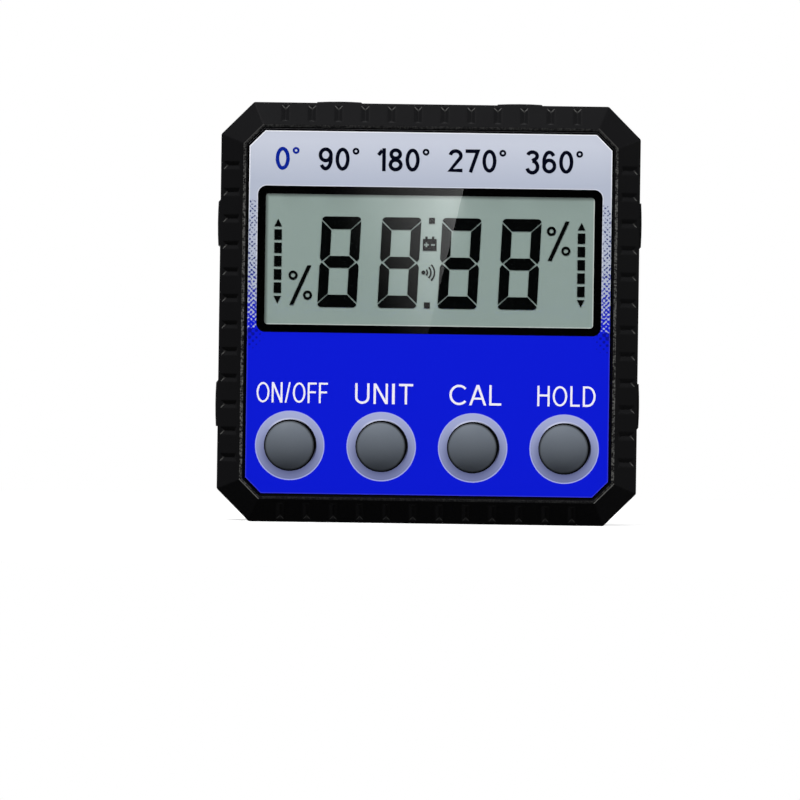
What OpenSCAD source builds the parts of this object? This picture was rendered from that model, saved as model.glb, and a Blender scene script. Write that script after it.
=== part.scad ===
/* [Housing] */
// Width and height of the square housing
body_size = 53; // [53:0.5:58]
// Depth of the housing from the front rim to the back
body_d = 27; // [26:0.5:32]
// Leg of each cut corner
corner_cut = 4.1; // [3.6:0.1:5]
// Rounding of the eight upright corners
corner_round = 0.4; // [0.2:0.05:0.8]
// Thickness of the side walls
side_wall = 2; // [1.8:0.1:2.2]
// Thickness of the wall behind the front panel
front_wall = 1.5; // [1.3:0.1:2]
// Thickness of the back wall below the battery door
back_wall = 2.4; // [2:0.1:3]
// Depth at which the front and rear shells part
split_d = 9; // [8.8:0.1:10.5]
// Height of the tongue that locates the rear shell in the front one
tongue_h = 1.2; // [0.8:0.1:1.6]
// Gap round the tongue
tongue_gap = 0.1; // [0.05:0.01:0.2]
// Depth of the groove along the parting line
seam_depth = 0.25; // [0.1:0.05:0.4]

/* [Bevelled rim] */
// Width of the bevel seen from the front
bevel_run = 2.85; // [2.4:0.05:2.9]
// Depth of the bevel
bevel_depth = 2; // [1.4:0.1:2.6]
// Leg of the bevel round the back
rear_bevel = 1.5; // [1:0.1:1.8]
// Grooves across the bevel on each side
groove_count = 12; // [4:1:12]
// Spacing of the grooves
groove_pitch = 3.35; // [2.5:0.05:3.4]
// Width of a groove at the surface
groove_w = 1; // [0.8:0.05:1.6]
// Depth of a groove below the bevel
groove_depth = 0.3; // [0.2:0.05:0.6]
// Plain bevel left outside the grooves
groove_outer_margin = 0.45; // [0.3:0.05:0.8]
// Plain bevel left inside the grooves
groove_inner_margin = 0.5; // [0.1:0.05:0.5]
// Length of the sloped outer end of a groove
groove_outer_run = 0.55; // [0.3:0.05:0.9]
// Length of the sloped inner end of a groove
groove_inner_run = 0.5; // [0.3:0.05:0.9]

/* [Grip pads] */
// Distance between the two pads on a side
pad_spacing = 23; // [16:0.5:28]
// Length of a pad along its side
pad_len = 6.1; // [4:0.1:9]
// Height of a pad above its side
pad_proud = 0.5; // [0.3:0.05:0.8]
// Length of the tapered end of a pad
pad_taper = 0.6; // [0.3:0.1:1.5]
// Size of a pad from front to back
pad_depth = 9; // [5:0.5:12]
// Distance of the pads behind the front rim
pad_start = 11; // [10.6:0.1:13]
// Radius of the crown of a pad
pad_crown_r = 50; // [30:5:100]

/* [Front panel] */
// Flat lip between the bevel and the panel opening
lip_w = 0.35; // [0.2:0.05:0.6]
// Chamfer inside the lip
lip_chamfer = 0.15; // [0.1:0.05:0.4]
// Gap between the panel and its opening
panel_gap = 0.25; // [0.1:0.05:0.4]
// Distance of the panel face behind the rim
panel_drop = 0.9; // [0.7:0.1:1.2]
// Thickness of the panel
panel_t = 0.8; // [0.5:0.1:1]

/* [Display window] */
// Width of the panel strip at each side of the window
window_side = 1.125; // [1:0.025:2]
// Height of the window
window_h = 18.5; // [17.5:0.1:19]
// Height of the window centre above the base
window_z = 33.2; // [32.6:0.1:33.6]
// Corner radius of the window
window_r = 1.1; // [0.5:0.1:2]
// Width of the black border round the view
border_w = 1; // [0.8:0.05:1.2]
// Corner radius of the view
view_r = 0.4; // [0.2:0.1:0.8]
// Gap between the lens and the panel
lens_gap = 0.05; // [0.02:0.01:0.1]
// Thickness of the black gasket behind the lens
gasket_t = 0.25; // [0.2:0.05:0.4]
// Thickness of the ledge between the gasket and the display glass
ledge_t = 0.45; // [0.4:0.05:0.8]

/* [Display cell] */
// Thickness of each glass plate
glass_t = 1.1; // [0.7:0.1:1.1]
// Glass hidden behind the border on each side
glass_margin = 1.75; // [1.5:0.05:1.8]
// Gap between the glass and its pocket
glass_gap = 0.15; // [0.1:0.05:0.2]
// Height of the bare strip that carries the contacts
contact_ledge = 1.8; // [1.7:0.1:2]
// Height of a contact strip
zebra_h = 1.6; // [1.2:0.1:1.6]
// Length of a contact strip
zebra_len = 42; // [36:0.5:42]
// Distance of the marks' middle below the window's middle
mark_drop = 0.25; // [0:0.05:0.5]
// Thickness of the dark segments
ink_t = 0.05; // [0.03:0.01:0.1]

/* [Digits] */
// Height of a digit
digit_h = 11.45; // [8:0.05:12]
// Width of a digit
digit_w = 4.95; // [4:0.05:5.5]
// Spacing of the digits
digit_pitch = 7.6; // [7:0.1:7.8]
// Width of an upright segment
upright_w = 1.25; // [0.8:0.05:1.4]
// Width of a level segment
level_w = 1.65; // [0.8:0.05:1.8]
// Half of the upright gap between two segments
segment_gap = 0.09; // [0.06:0.01:0.2]
// Radius of a digit's outer corners
digit_corner = 0.5; // [0.3:0.05:0.6]
// Lean of the digits in degrees
digit_lean = 2.5; // [0:0.5:6]
// Distance of a bar column's middle from the edge of the view
bar_margin = 1.6; // [1.2:0.05:2]
// Width of a bar
bar_w = 0.95; // [0.6:0.05:1]
// Height of a bar
bar_h = 1.3; // [0.8:0.05:1.4]
// Spacing of the bars
bar_pitch = 1.68; // [1.5:0.02:1.8]
// Bars in a column
bar_count = 5; // [3:1:5]

/* [Buttons] */
// Diameter of a button
button_dia = 6.2; // [5:0.1:6.6]
// Spacing of the buttons
button_pitch = 11.55; // [11.2:0.05:11.6]
// Height of the buttons above the base
button_z = 9.7; // [9.5:0.1:10.2]
// Height of a button above the panel at its middle
button_proud = 0.7; // [0.5:0.05:0.7]
// Rise of the button's dome
button_dome = 0.8; // [0.1:0.05:0.9]
// Gap round a button
button_gap = 0.16; // [0.12:0.01:0.2]
// Distance that a button sits to the left in its hole
button_sit_x = 0.06; // [0:0.01:0.07]
// Distance that a button sits low in its hole
button_sit_z = 0.03; // [0:0.01:0.04]
// Width of the flange that keeps a button in
flange_w = 1; // [0.6:0.1:1.2]
// Thickness of the flange
flange_t = 0.8; // [0.6:0.1:1]
// Play in front of the flange
flange_play = 0.05; // [0.03:0.01:0.1]
// Travel of a button
button_travel = 0.5; // [0.3:0.05:0.6]

/* [Electronics] */
// Thickness of the circuit board
board_t = 1.6; // [1:0.1:1.6]
// Distance of the board's edge from the outside of the housing
board_inset = 3.5; // [3.2:0.1:3.8]
// Width of a switch
switch_w = 6; // [5:0.1:6.2]
// Height of a switch
switch_h = 2; // [1.8:0.1:2.5]
// Space between a pressed button and its switch
switch_gap = 0.45; // [0.3:0.05:0.8]
// Diameter of a switch plunger
plunger_dia = 3.4; // [3:0.1:3.6]
// Gap round a plunger
plunger_gap = 0.1; // [0.05:0.01:0.15]
// Width of the controller chip
chip_w = 9; // [6:0.5:10]
// Height of the controller chip
chip_h = 1.4; // [0.8:0.1:2]
// Width of the tilt sensor
sensor_w = 4; // [3:0.5:5]
// Diameter of the buzzer
buzzer_dia = 9; // [7:0.5:9]
// Height of the buzzer
buzzer_h = 4; // [2:0.5:5]

/* [Cells] */
// Diameter of a cell
cell_dia = 10.5; // [10:0.1:10.6]
// Length of a cell with its nub
cell_len = 44.5; // [43:0.1:44.6]
// Diameter of the nub
nub_dia = 3.8; // [3:0.1:4.2]
// Length of the nub
nub_len = 1; // [0.8:0.1:1.2]
// Gap round a cell
cell_play = 0.3; // [0.2:0.05:0.35]
// Thickness of the rib between the cells
cell_rib = 1.6; // [1.2:0.1:1.6]
// Height of the rib between the cells
cell_rib_h = 4; // [2:0.5:6]
// Thickness of the walls of the cell bay
bay_wall = 1.2; // [1:0.1:1.4]

/* [Contacts] */
// Thickness of the contact plates
contact_t = 0.4; // [0.3:0.05:0.4]
// Width of a contact plate
contact_w = 8; // [6:0.5:9]
// Rise of the pip that meets the nub
pip_h = 0.5; // [0.3:0.05:0.6]
// Diameter of the pip
pip_dia = 4; // [3:0.5:5]
// Width of a solder tail
tail_w = 2; // [1.5:0.1:2.2]
// Distance of a solder tail from the bay's end
tail_in = 3; // [2.8:0.1:3.2]
// Gap round a solder tail
tail_gap = 0.15; // [0.1:0.05:0.2]
// Diameter of the spring wire
wire_dia = 0.5; // [0.4:0.05:0.6]
// Diameter of the spring at its plate
spring_base = 7; // [6:0.5:8]
// Diameter of the spring at the cell
spring_tip = 4; // [3:0.5:5]
// Turns of the spring
spring_turns = 3; // [2:0.5:3]

/* [Battery door] */
// Thickness of the door
door_t = 1.6; // [1.4:0.1:2]
// Thickness of the tongues along its sides
door_tongue_t = 0.8; // [0.6:0.1:0.9]
// Width of the tongues
door_tongue_w = 1.1; // [0.8:0.1:1.2]
// Width of the shelf behind each tongue
shelf_w = 1.5; // [1.4:0.1:1.5]
// Thickness of the shelf
shelf_t = 1; // [0.8:0.1:1.2]
// Gap round the door
door_gap = 0.15; // [0.1:0.01:0.2]
// Thumb grooves across the door
thumb_count = 5; // [3:1:7]
// Spacing of the thumb grooves
thumb_pitch = 1.8; // [1.5:0.1:2.2]
// Length of a thumb groove
thumb_len = 16; // [10:1:24]
// Width of a thumb groove
thumb_w = 0.9; // [0.6:0.1:1.2]
// Depth of a thumb groove
thumb_depth = 0.5; // [0.3:0.05:0.6]

/* [Base magnets] */
// Diameter of a magnet
magnet_dia = 7; // [5:0.5:7]
// Thickness of a magnet
magnet_t = 2.5; // [2:0.1:3]
// Spacing of the magnets
magnet_pitch = 18; // [17.5:0.1:18.5]
// Gap round a magnet
magnet_gap = 0.05; // [0.03:0.01:0.1]
// Plastic left round a magnet
magnet_wall = 1.2; // [0.8:0.1:1.4]

/* [Screws] */
// Diameter of the shank of a case screw
case_screw_dia = 2.4; // [2:0.1:2.6]
// Diameter of the head of a case screw
case_head_dia = 4.2; // [3.8:0.1:4.4]
// Depth of the seat of a case screw's head below the back
case_seat = 7; // [5:0.5:9]
// Length of a case screw below its head
case_screw_len = 15; // [13.5:0.5:15.5]
// Diameter of the shank of a board screw
board_screw_dia = 1.8; // [1.6:0.1:2]
// Diameter of the head of a board screw
board_head_dia = 3.4; // [3:0.1:3.6]
// Length of a board screw below its head
board_screw_len = 4.6; // [4:0.2:4.8]
// Height of a screw head
head_h = 1.5; // [1.2:0.1:1.8]
// Plastic left round a screw's hole
boss_wall = 1.15; // [1:0.05:1.2]
// Gap round a screw
screw_gap = 0.05; // [0.03:0.01:0.1]

/* [Hidden] */
$fn = 48;

// Length by which a cutting shape runs past the face that it opens
past = 1;

// Depths of the front stack, counted from the front rim
panel_back_d = panel_drop + panel_t;
gasket_back_d = panel_back_d + gasket_t;
glass_front_d = gasket_back_d + ledge_t;
glass_mid_d = glass_front_d + glass_t;
glass_back_d = glass_mid_d + glass_t;
wall_back_d = panel_back_d + front_wall;
flange_front_d = wall_back_d + flange_play;
flange_back_d = flange_front_d + flange_t;
switch_front_d = flange_back_d + button_travel + switch_gap;
board_front_d = switch_front_d + switch_h;
board_back_d = board_front_d + board_t;

// Depths of the back stack
door_front_d = body_d - door_t;
door_step_d = door_front_d + door_tongue_t;
slot_front_d = door_front_d - door_gap;
slot_back_d = door_step_d + door_gap;
bay_back_d = slot_front_d - shelf_t;
cell_axis_d = bay_back_d - cell_play - cell_dia / 2;
bay_floor_d = cell_axis_d - cell_dia / 2 - cell_play;
case_seat_d = body_d - case_seat;

// Insets from the outside of the housing
panel_opening = bevel_run + lip_w + lip_chamfer;
panel_inset = panel_opening + panel_gap;
cavity_half = body_size / 2 - side_wall;

// Window and display
window_w = body_size - 2 * (panel_inset + window_side);
view_w = window_w - 2 * border_w;
view_h = window_h - 2 * border_w;
glass_w = view_w + 2 * glass_margin;
glass_h = view_h + 2 * glass_margin;
zebra_z = glass_h / 2 - contact_ledge / 2;
bar_x = view_w / 2 - bar_margin;
percent_x = (bar_x - bar_w / 2 + 3 * digit_pitch / 2 + digit_w / 2) / 2;

// Buttons and their switches
button_count = 4;
button_xs = [for (i = [0 : button_count - 1]) (i - (button_count - 1) / 2) * button_pitch];
button_hole_dia = button_dia + 2 * button_gap;
button_front_d = panel_drop - button_proud;
plunger_dip = switch_h / 4;
plunger_front_d = flange_back_d + switch_gap;

// Cell bay, lowered until the upper cell clears the cut corners
plus_x = cavity_half - contact_t - pip_h;
minus_x = plus_x - cell_len;
cell_corner_z = body_size * 3 / 2 - corner_cut - side_wall * sqrt(2) - plus_x + nub_len;
bay_top_z = min(body_size - side_wall, cell_corner_z);
bay_bottom_z = bay_top_z - 2 * cell_dia - 4 * cell_play - cell_rib;
upper_cell_z = bay_top_z - cell_play - cell_dia / 2;
lower_cell_z = bay_bottom_z + cell_play + cell_dia / 2;
spring_len = cavity_half - contact_t + minus_x;
tail_shift = cell_dia / 3;
positive_tail_z = lower_cell_z - tail_shift;
negative_tail_z = upper_cell_z - tail_shift;
tail_x = -cavity_half + tail_in - contact_t / 2;

// Battery door
door_half = cavity_half - shelf_w;
door_tongue_half = door_half + door_tongue_w;
door_bottom_z = bay_bottom_z + door_gap;
thumb_z = (bay_bottom_z + body_size) / 2 - cell_dia / 3;

// Screws
case_boss_dia = case_screw_dia + 2 * boss_wall;
case_column_dia = case_head_dia + 2 * boss_wall;
board_boss_dia = board_screw_dia + 2 * boss_wall;
side_screw_x = cavity_half + side_wall / 8 - case_column_dia / 2;
side_screw_z = window_z - glass_h / 2 - glass_gap - case_column_dia / 2;
foot_screw_x = button_pitch;
foot_screw_z = side_wall + case_column_dia / 2 - side_wall / 8;
case_screw_spots = [
  for (side = [-1, 1])
    each [[side * side_screw_x, side_screw_z], [side * foot_screw_x, foot_screw_z]]
];
board_screw_x = cavity_half - inset_leg(side_wall) - board_boss_dia / 2;
board_screw_z = window_z + glass_h / 2 + glass_gap + board_boss_dia;
board_screw_spots = [
  for (side = [-1, 1])
    each [[side * board_screw_x, board_screw_z], [side * button_pitch, side_screw_z]]
];

// Base magnets
magnet_xs = [for (i = [-1 : 1]) i * magnet_pitch];
magnet_d = split_d + magnet_dia / 2 + 2 * magnet_wall;

// Corner leg of the outline after it is inset evenly
function inset_leg(inset) = corner_cut - inset * (2 - sqrt(2));

// Distance from the housing's axis to side k of the octagon, cut corners at odd k
function side_reach(k) = k % 2 == 0 ? body_size / 2 : (body_size - corner_cut) / sqrt(2);

// Middle of the rounding between sides k and k + 1 of the octagon, about the housing's axis
function round_middle(k) =
  let (out = side_reach(k) - corner_round)
    let (across = (side_reach(k + 1) - corner_round) * sqrt(2) - out)
      out * [cos(45 * k), sin(45 * k)] + across * [-sin(45 * k), cos(45 * k)];

// Points leaned over by the lean of the digits
function leaned(points) = [for (p = points) [p.x + p.y * tan(digit_lean), p.y]];

// Points of an arc about a centre, clockwise from a0 to a1 degrees
function corner_arc(centre, r, a0, a1) = [for (a = [a0 : -15 : a1]) centre + r * [cos(a), sin(a)]];

// Points mirrored left to right, up to down or both
function flipped(points, sx, sz) = [for (p = points) [sx * p.x, sz * p.y]];

// Front-view outline of the housing, inset evenly
module outline(inset) {
  half = body_size / 2 - inset;
  leg = inset_leg(inset);
  translate([0, body_size / 2])
    polygon([
      [half - leg, -half], [half, leg - half], [half, half - leg], [half - leg, half],
      [leg - half, half], [-half, half - leg], [-half, leg - half], [leg - half, -half]
    ]);
}

// Front-view outline of the housing with its corners rounded
module rounded_outline() {
  translate([0, body_size / 2])
    polygon([
      for (k = [7 : -1 : 0])
        each corner_arc(round_middle(k), corner_round, 45 * (k + 1), 45 * k)
    ]);
}

// Front-view outline extruded between two depths
module slab(d0, d1) {
  translate([0, d1 - body_d / 2, 0])
    rotate([90, 0, 0])
      linear_extrude(d1 - d0)
        children();
}

// Round pin along the depth at a front-view spot
module pin(spot, d0, d1, dia) {
  translate([spot.x, d1 - body_d / 2, spot.y])
    rotate([90, 0, 0])
      cylinder(h = d1 - d0, d = dia);
}

// Block between two depths, centred on a front-view spot
module block(spot, size, d0, d1) {
  slab(d0, d1)
    translate(spot)
      square(size, center = true);
}

module rounded_rect(w, h, r) {
  square([w - 2 * r, h], center = true);
  square([w, h - 2 * r], center = true);
  for (sx = [-1, 1], sz = [-1, 1])
    translate([sx * (w / 2 - r), sz * (h / 2 - r)])
      circle(r);
}

// Rounded rectangle about the window's centre, between two depths
module window_slab(d0, d1, w, h, r) {
  slab(d0, d1)
    translate([0, window_z])
      rounded_rect(w, h, r);
}

// Wedges that bevel the front edge along all eight sides
module bevel_wedges(run, depth) {
  for (k = [0 : 7])
    translate([0, -body_d / 2, body_size / 2])
      rotate([0, 45 * k, 0])
        translate([side_reach(k), 0, 0])
          linear_extrude(body_size, center = true)
            polygon([[-1.5 * run, -depth / 2], [run / 2, 1.5 * depth], [run / 2, -depth / 2]]);
}

// V groove round all eight sides at the parting line
module seam_groove() {
  for (k = [0 : 7])
    translate([0, split_d - body_d / 2, body_size / 2])
      rotate([0, 45 * k, 0])
        translate([side_reach(k), 0, 0])
          linear_extrude(body_size, center = true)
            polygon([[-seam_depth, 0], [seam_depth, -2 * seam_depth], [seam_depth, 2 * seam_depth]]);
}

module rear_bevel_wedges() {
  mirror([0, 1, 0])
    bevel_wedges(rear_bevel, rear_bevel);
}

// Pit of one groove, drawn with X down the slope of the bevel and Y into the plastic
module groove_pit() {
  slope_len = norm([bevel_run, bevel_depth]);
  start = groove_outer_margin;
  end = slope_len - groove_inner_margin;
  over = 0.5;
  intersection() {
    linear_extrude(2 * groove_w, center = true)
      polygon([
        [over * groove_outer_run - start, -over * groove_depth],
        [-over * groove_inner_run - end, -over * groove_depth],
        [(1 + over) * groove_inner_run - end, (1 + over) * groove_depth],
        [-(1 + over) * groove_outer_run - start, (1 + over) * groove_depth]
      ]);
    rotate([0, 90, 0])
      linear_extrude(3 * slope_len, center = true)
        polygon([
          [-(1 + over) * groove_w / 2, -over * groove_depth],
          [(1 + over) * groove_w / 2, -over * groove_depth],
          [0, groove_depth]
        ]);
  }
}

module bevel_grooves() {
  for (k = [0 : 3], i = [0 : groove_count - 1])
    translate([0, -body_d / 2, body_size / 2])
      rotate([0, 90 * k, 0])
        translate([body_size / 2, bevel_depth, (i - (groove_count - 1) / 2) * groove_pitch])
          rotate([0, 0, atan2(bevel_depth, bevel_run)])
            groove_pit();
}

// Opening for the panel, chamfered at the lip
module panel_recess() {
  slab(-past, panel_back_d)
    outline(panel_opening);
  hull() {
    slab(-lip_chamfer, 0)
      outline(panel_opening - lip_chamfer);
    slab(0, lip_chamfer)
      outline(panel_opening);
  }
}

// Pockets for the gasket and the glass, with the view opened between them
module window_pockets() {
  window_slab(panel_drop, gasket_back_d, window_w, window_h, window_r);
  window_slab(panel_drop, wall_back_d + past, view_w, view_h, view_r);
  block([0, window_z], [glass_w + 2 * glass_gap, glass_h + 2 * glass_gap], glass_front_d, wall_back_d + past);
}

module front_case() {
  color("#1d1d1f")
    difference() {
      union() {
        difference() {
          slab(0, split_d)
            rounded_outline();
          bevel_wedges(bevel_run, bevel_depth);
          bevel_grooves();
          seam_groove();
          panel_recess();
          slab(wall_back_d, split_d + past)
            outline(side_wall);
          slab(split_d - tongue_h, split_d + past)
            outline(side_wall / 2);
        }
        for (spot = case_screw_spots)
          pin(spot, panel_back_d, split_d, case_boss_dia);
        for (spot = board_screw_spots)
          pin(spot, panel_back_d, board_front_d, board_boss_dia);
      }
      window_pockets();
      for (x = button_xs)
        pin([x, button_z], panel_drop, wall_back_d + past, button_hole_dia);
      for (spot = case_screw_spots)
        pin(spot, case_seat_d - case_screw_len - screw_gap, split_d + past, case_screw_dia + 2 * screw_gap);
      for (spot = board_screw_spots)
        pin(spot, wall_back_d, board_front_d + past, board_screw_dia + 2 * screw_gap);
    }
}

// One crowned pad on the right side, sharp at its upper end and tapered at its lower end
module grip_pad() {
  face = body_size / 2;
  intersection() {
    polygon([
      [face - side_wall / 2, -pad_len / 2], [face, -pad_len / 2],
      [face + pad_proud, pad_taper - pad_len / 2], [face + pad_proud, pad_len / 2],
      [face - side_wall / 2, pad_len / 2]
    ]);
    translate([face + pad_proud - pad_crown_r, 0])
      circle(pad_crown_r, $fn = 200);
  }
}

// Pads on the right, left and top sides
module grip_pads() {
  for (a = [0, 180, 270], side = [-1, 1])
    translate([0, pad_start + pad_depth - body_d / 2, body_size / 2])
      rotate([0, a, 0])
        rotate([90, 0, 0])
          linear_extrude(pad_depth)
            translate([0, side * pad_spacing / 2])
              grip_pad();
}

// Floor, wall and rib of the cell bay
module cell_bay() {
  wall_front_d = bay_floor_d - bay_wall;
  bay_h = bay_top_z - bay_bottom_z;
  intersection() {
    slab(wall_front_d, slot_front_d)
      outline(side_wall / 2);
    union() {
      block([0, bay_bottom_z + bay_h / 2], [body_size, bay_h + 2 * bay_wall], wall_front_d, bay_floor_d);
      block([0, bay_bottom_z - bay_wall / 2], [body_size, bay_wall], wall_front_d, slot_front_d);
      block(
        [0, (upper_cell_z + lower_cell_z) / 2], [body_size, cell_rib],
        wall_front_d, bay_floor_d + cell_rib_h
      );
      for (side = [-1, 1])
        block(
          [side * (door_half + shelf_w), bay_bottom_z + bay_h / 2], [2 * shelf_w, bay_h + 2 * bay_wall],
          bay_back_d, slot_front_d
        );
    }
  }
}

// Way for the door, open at the top of the housing
module door_way() {
  height = body_size - bay_bottom_z + past;
  mid_z = bay_bottom_z + height / 2;
  block([0, mid_z], [2 * (door_tongue_half + door_gap), height], slot_front_d, slot_back_d);
  block([0, mid_z], [2 * (door_half + door_gap), height], slot_front_d, body_d + past);
}

module rear_case() {
  color("#1d1d1f")
    difference() {
      union() {
        difference() {
          slab(split_d, body_d)
            rounded_outline();
          rear_bevel_wedges();
          seam_groove();
          slab(split_d - past, body_d - back_wall)
            outline(side_wall);
        }
        difference() {
          slab(split_d - tongue_h + tongue_gap, split_d + tongue_h)
            outline(side_wall / 2 + tongue_gap);
          slab(0, body_d)
            outline(side_wall);
        }
        cell_bay();
        grip_pads();
        for (spot = case_screw_spots)
          pin(spot, split_d, body_d - back_wall / 2, case_column_dia);
        for (x = magnet_xs)
          translate([x, magnet_d - body_d / 2, side_wall / 2])
            cylinder(h = magnet_t + magnet_wall - side_wall / 2, d = magnet_dia + 2 * magnet_wall);
      }
      door_way();
      block(
        [0, (bay_bottom_z + bay_top_z) / 2], [2 * door_half, bay_top_z - bay_bottom_z],
        bay_back_d - shelf_t, slot_front_d + past / 4
      );
      for (spot = case_screw_spots) {
        pin(spot, split_d - past, body_d, case_screw_dia + 2 * screw_gap);
        pin(spot, case_seat_d, body_d + past, case_head_dia + 4 * screw_gap);
      }
      for (spot = board_screw_spots)
        pin(spot, board_back_d, board_back_d + head_h + 4 * screw_gap, board_head_dia + 4 * screw_gap);
      for (x = magnet_xs)
        translate([x, magnet_d - body_d / 2, -past])
          cylinder(h = past + magnet_t + magnet_gap, d = magnet_dia + 2 * magnet_gap);
      for (z = [positive_tail_z, negative_tail_z])
        tail_slot(z, bay_floor_d - bay_wall - past, bay_floor_d + past / 4);
    }
}

module panel_overlay() {
  color("#1426cf")
    difference() {
      slab(panel_drop, panel_back_d)
        outline(panel_inset);
      window_slab(0, panel_back_d + past, window_w, window_h, window_r);
      for (x = button_xs)
        pin([x, button_z], 0, panel_back_d + past, button_hole_dia);
    }
}

module window_lens() {
  color("#dfe6e8")
    window_slab(
      panel_drop, panel_back_d,
      window_w - 2 * lens_gap, window_h - 2 * lens_gap, window_r - lens_gap
    );
}

module lens_gasket() {
  color("#0b0b0c")
    difference() {
      window_slab(
        panel_back_d, gasket_back_d,
        window_w - 2 * lens_gap, window_h - 2 * lens_gap, window_r - lens_gap
      );
      window_slab(panel_drop, gasket_back_d + past, view_w, view_h, view_r);
    }
}

// Front glass with a shorter rear glass, which bares a contact strip above and below
module lcd_cell() {
  color("#8f9c95") {
    block([0, window_z], [glass_w, glass_h], glass_front_d, glass_mid_d);
    block([0, window_z], [glass_w, glass_h - 2 * contact_ledge], glass_mid_d - glass_t / 4, glass_back_d);
  }
}

// Seven segments about the digit's centre
module digit() {
  w = digit_w / 2;
  h = digit_h / 2;
  g = segment_gap;
  inner = w - upright_w;
  level = concat(
    corner_arc([digit_corner - w, h - digit_corner], digit_corner, 165, 90),
    corner_arc([w - digit_corner, h - digit_corner], digit_corner, 90, 15),
    [[inner, h - level_w + g], [-inner, h - level_w + g]]
  );
  upright = [
    [w, h - digit_corner - g], [w, digit_corner], [w - digit_corner / 2, g],
    [inner, level_w / 2 + g], [inner, h - level_w - g]
  ];
  middle = [
    [digit_corner - w, 0], [-inner, level_w / 2 - g], [inner, level_w / 2 - g],
    [w - digit_corner, 0], [inner, g - level_w / 2], [-inner, g - level_w / 2]
  ];
  polygon(leaned(middle));
  for (sz = [-1, 1])
    polygon(leaned(flipped(level, 1, sz)));
  for (sx = [-1, 1], sz = [-1, 1])
    polygon(leaned(flipped(upright, sx, sz)));
}

// Column of bars with an arrow at each end
module bar_column() {
  for (i = [0 : bar_count - 1])
    translate([0, (i - (bar_count - 1) / 2) * bar_pitch])
      square([bar_w, bar_h], center = true);
  base = bar_count * bar_pitch / 2 + bar_pitch / 8;
  for (sz = [-1, 1])
    polygon(flipped([[-bar_w / 2, base], [bar_w / 2, base], [0, base + bar_w]], 1, sz));
}

// Slash between two rings
module percent_mark() {
  half = [1.1, 2.5];
  stroke = 0.25;
  ring_spot = [0.93, 1.25];
  ring_dia = 1.15;
  ring_bore = 0.55;
  polygon([
    [-half.x - stroke, -half.y], [stroke - half.x, -half.y],
    [half.x + stroke, half.y], [half.x - stroke, half.y]
  ]);
  for (side = [-1, 1])
    translate([-side * ring_spot.x, side * ring_spot.y])
      difference() {
        circle(d = ring_dia, $fn = 24);
        circle(d = ring_bore, $fn = 24);
      }
}

// Outline of a cell with two terminals, plus and minus left open in it
module battery_mark() {
  box = [1.75, 1.5];
  post = [0.3, 0.4];
  sign_x = 0.42;
  sign_len = 0.6;
  sign_w = 0.2;
  difference() {
    union() {
      square(box, center = true);
      for (side = [-1, 1])
        translate([side * sign_x, (box.y + post.y) / 2 - sign_w / 2])
          square(post, center = true);
    }
    for (size = [[sign_len, sign_w], [sign_w, sign_len]])
      translate([-sign_x, 0])
        square(size, center = true);
    translate([sign_x, 0])
      square([sign_len - sign_w / 2, sign_w], center = true);
  }
}

// Dot with arcs that spread from it
module sound_mark() {
  reach = 1.5;
  stroke = 0.2;
  dot_dia = 0.5;
  arc_step = 0.45;
  translate([-reach / 2, 0]) {
    circle(d = dot_dia, $fn = 24);
    for (r = [dot_dia : arc_step : reach])
      intersection() {
        difference() {
          circle(r + stroke / 2);
          circle(r - stroke / 2);
        }
        polygon([[0, 0], [reach, -reach], [reach, reach]]);
      }
  }
}

// All dark marks of the display
module lcd_segments() {
  dot_w = 0.75;
  percent_spot = [percent_x, 3];
  battery_z = 2.3;
  sound_z = -1.2;
  color("#131516")
    slab(glass_front_d - ink_t, glass_front_d)
      translate([0, window_z - mark_drop]) {
        for (i = [0 : 3])
          translate([(i - 1.5) * digit_pitch, 0])
            digit();
        for (side = [-1, 1]) {
          translate([side * bar_x, 0])
            bar_column();
          translate(side * percent_spot)
            percent_mark();
          translate([side * tan(digit_lean) * digit_h / 2, side * (digit_h - dot_w) / 2])
            square(dot_w, center = true);
        }
        translate([0, battery_z])
          battery_mark();
        translate([0, sound_z])
          sound_mark();
      }
}

// Conductive rubber strip between the glass and the board
module zebra_strip(side) {
  color("#e4a7a3")
    block([0, window_z + side * zebra_z], [zebra_len, zebra_h], glass_mid_d, board_front_d);
}

module zebra_strip_upper() {
  zebra_strip(1);
}

module zebra_strip_lower() {
  zebra_strip(-1);
}

module main_board() {
  color("#1f5a37")
    difference() {
      slab(board_front_d, board_back_d)
        outline(board_inset);
      for (spot = case_screw_spots)
        pin(spot, board_front_d - past, board_back_d + past, case_boss_dia + 4 * tail_gap);
      for (spot = board_screw_spots)
        pin(spot, board_front_d - past, board_back_d + past, board_screw_dia + 4 * screw_gap);
      for (z = [positive_tail_z, negative_tail_z])
        tail_slot(z, board_front_d - past, board_back_d + past);
    }
}

module controller_chip() {
  color("#202224")
    block([0, button_z + chip_w / 2], [chip_w, chip_w], board_back_d, board_back_d + chip_h);
}

module tilt_sensor() {
  color("#2a2c2e")
    block([-button_pitch, button_z + sensor_w / 2], [sensor_w, sensor_w], board_back_d, board_back_d + chip_h / 2);
}

module buzzer() {
  spot = [3 * button_pitch / 2, (foot_screw_z + side_screw_z) / 2];
  color("#161718")
    difference() {
      pin(spot, board_back_d, board_back_d + buzzer_h, buzzer_dia);
      pin(spot, board_back_d + buzzer_h / 2, board_back_d + buzzer_h + past, buzzer_dia / 5);
    }
}

module switch_body(i) {
  spot = [button_xs[i], button_z];
  color("#2b2d2f")
    difference() {
      block(spot, [switch_w, switch_w], switch_front_d, board_front_d);
      pin(
        spot, switch_front_d - past, switch_front_d + plunger_dip + button_travel + plunger_gap,
        plunger_dia + 2 * plunger_gap
      );
    }
}

module switch_body_1() {
  switch_body(0);
}

module switch_body_2() {
  switch_body(1);
}

module switch_body_3() {
  switch_body(2);
}

module switch_body_4() {
  switch_body(3);
}

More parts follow.
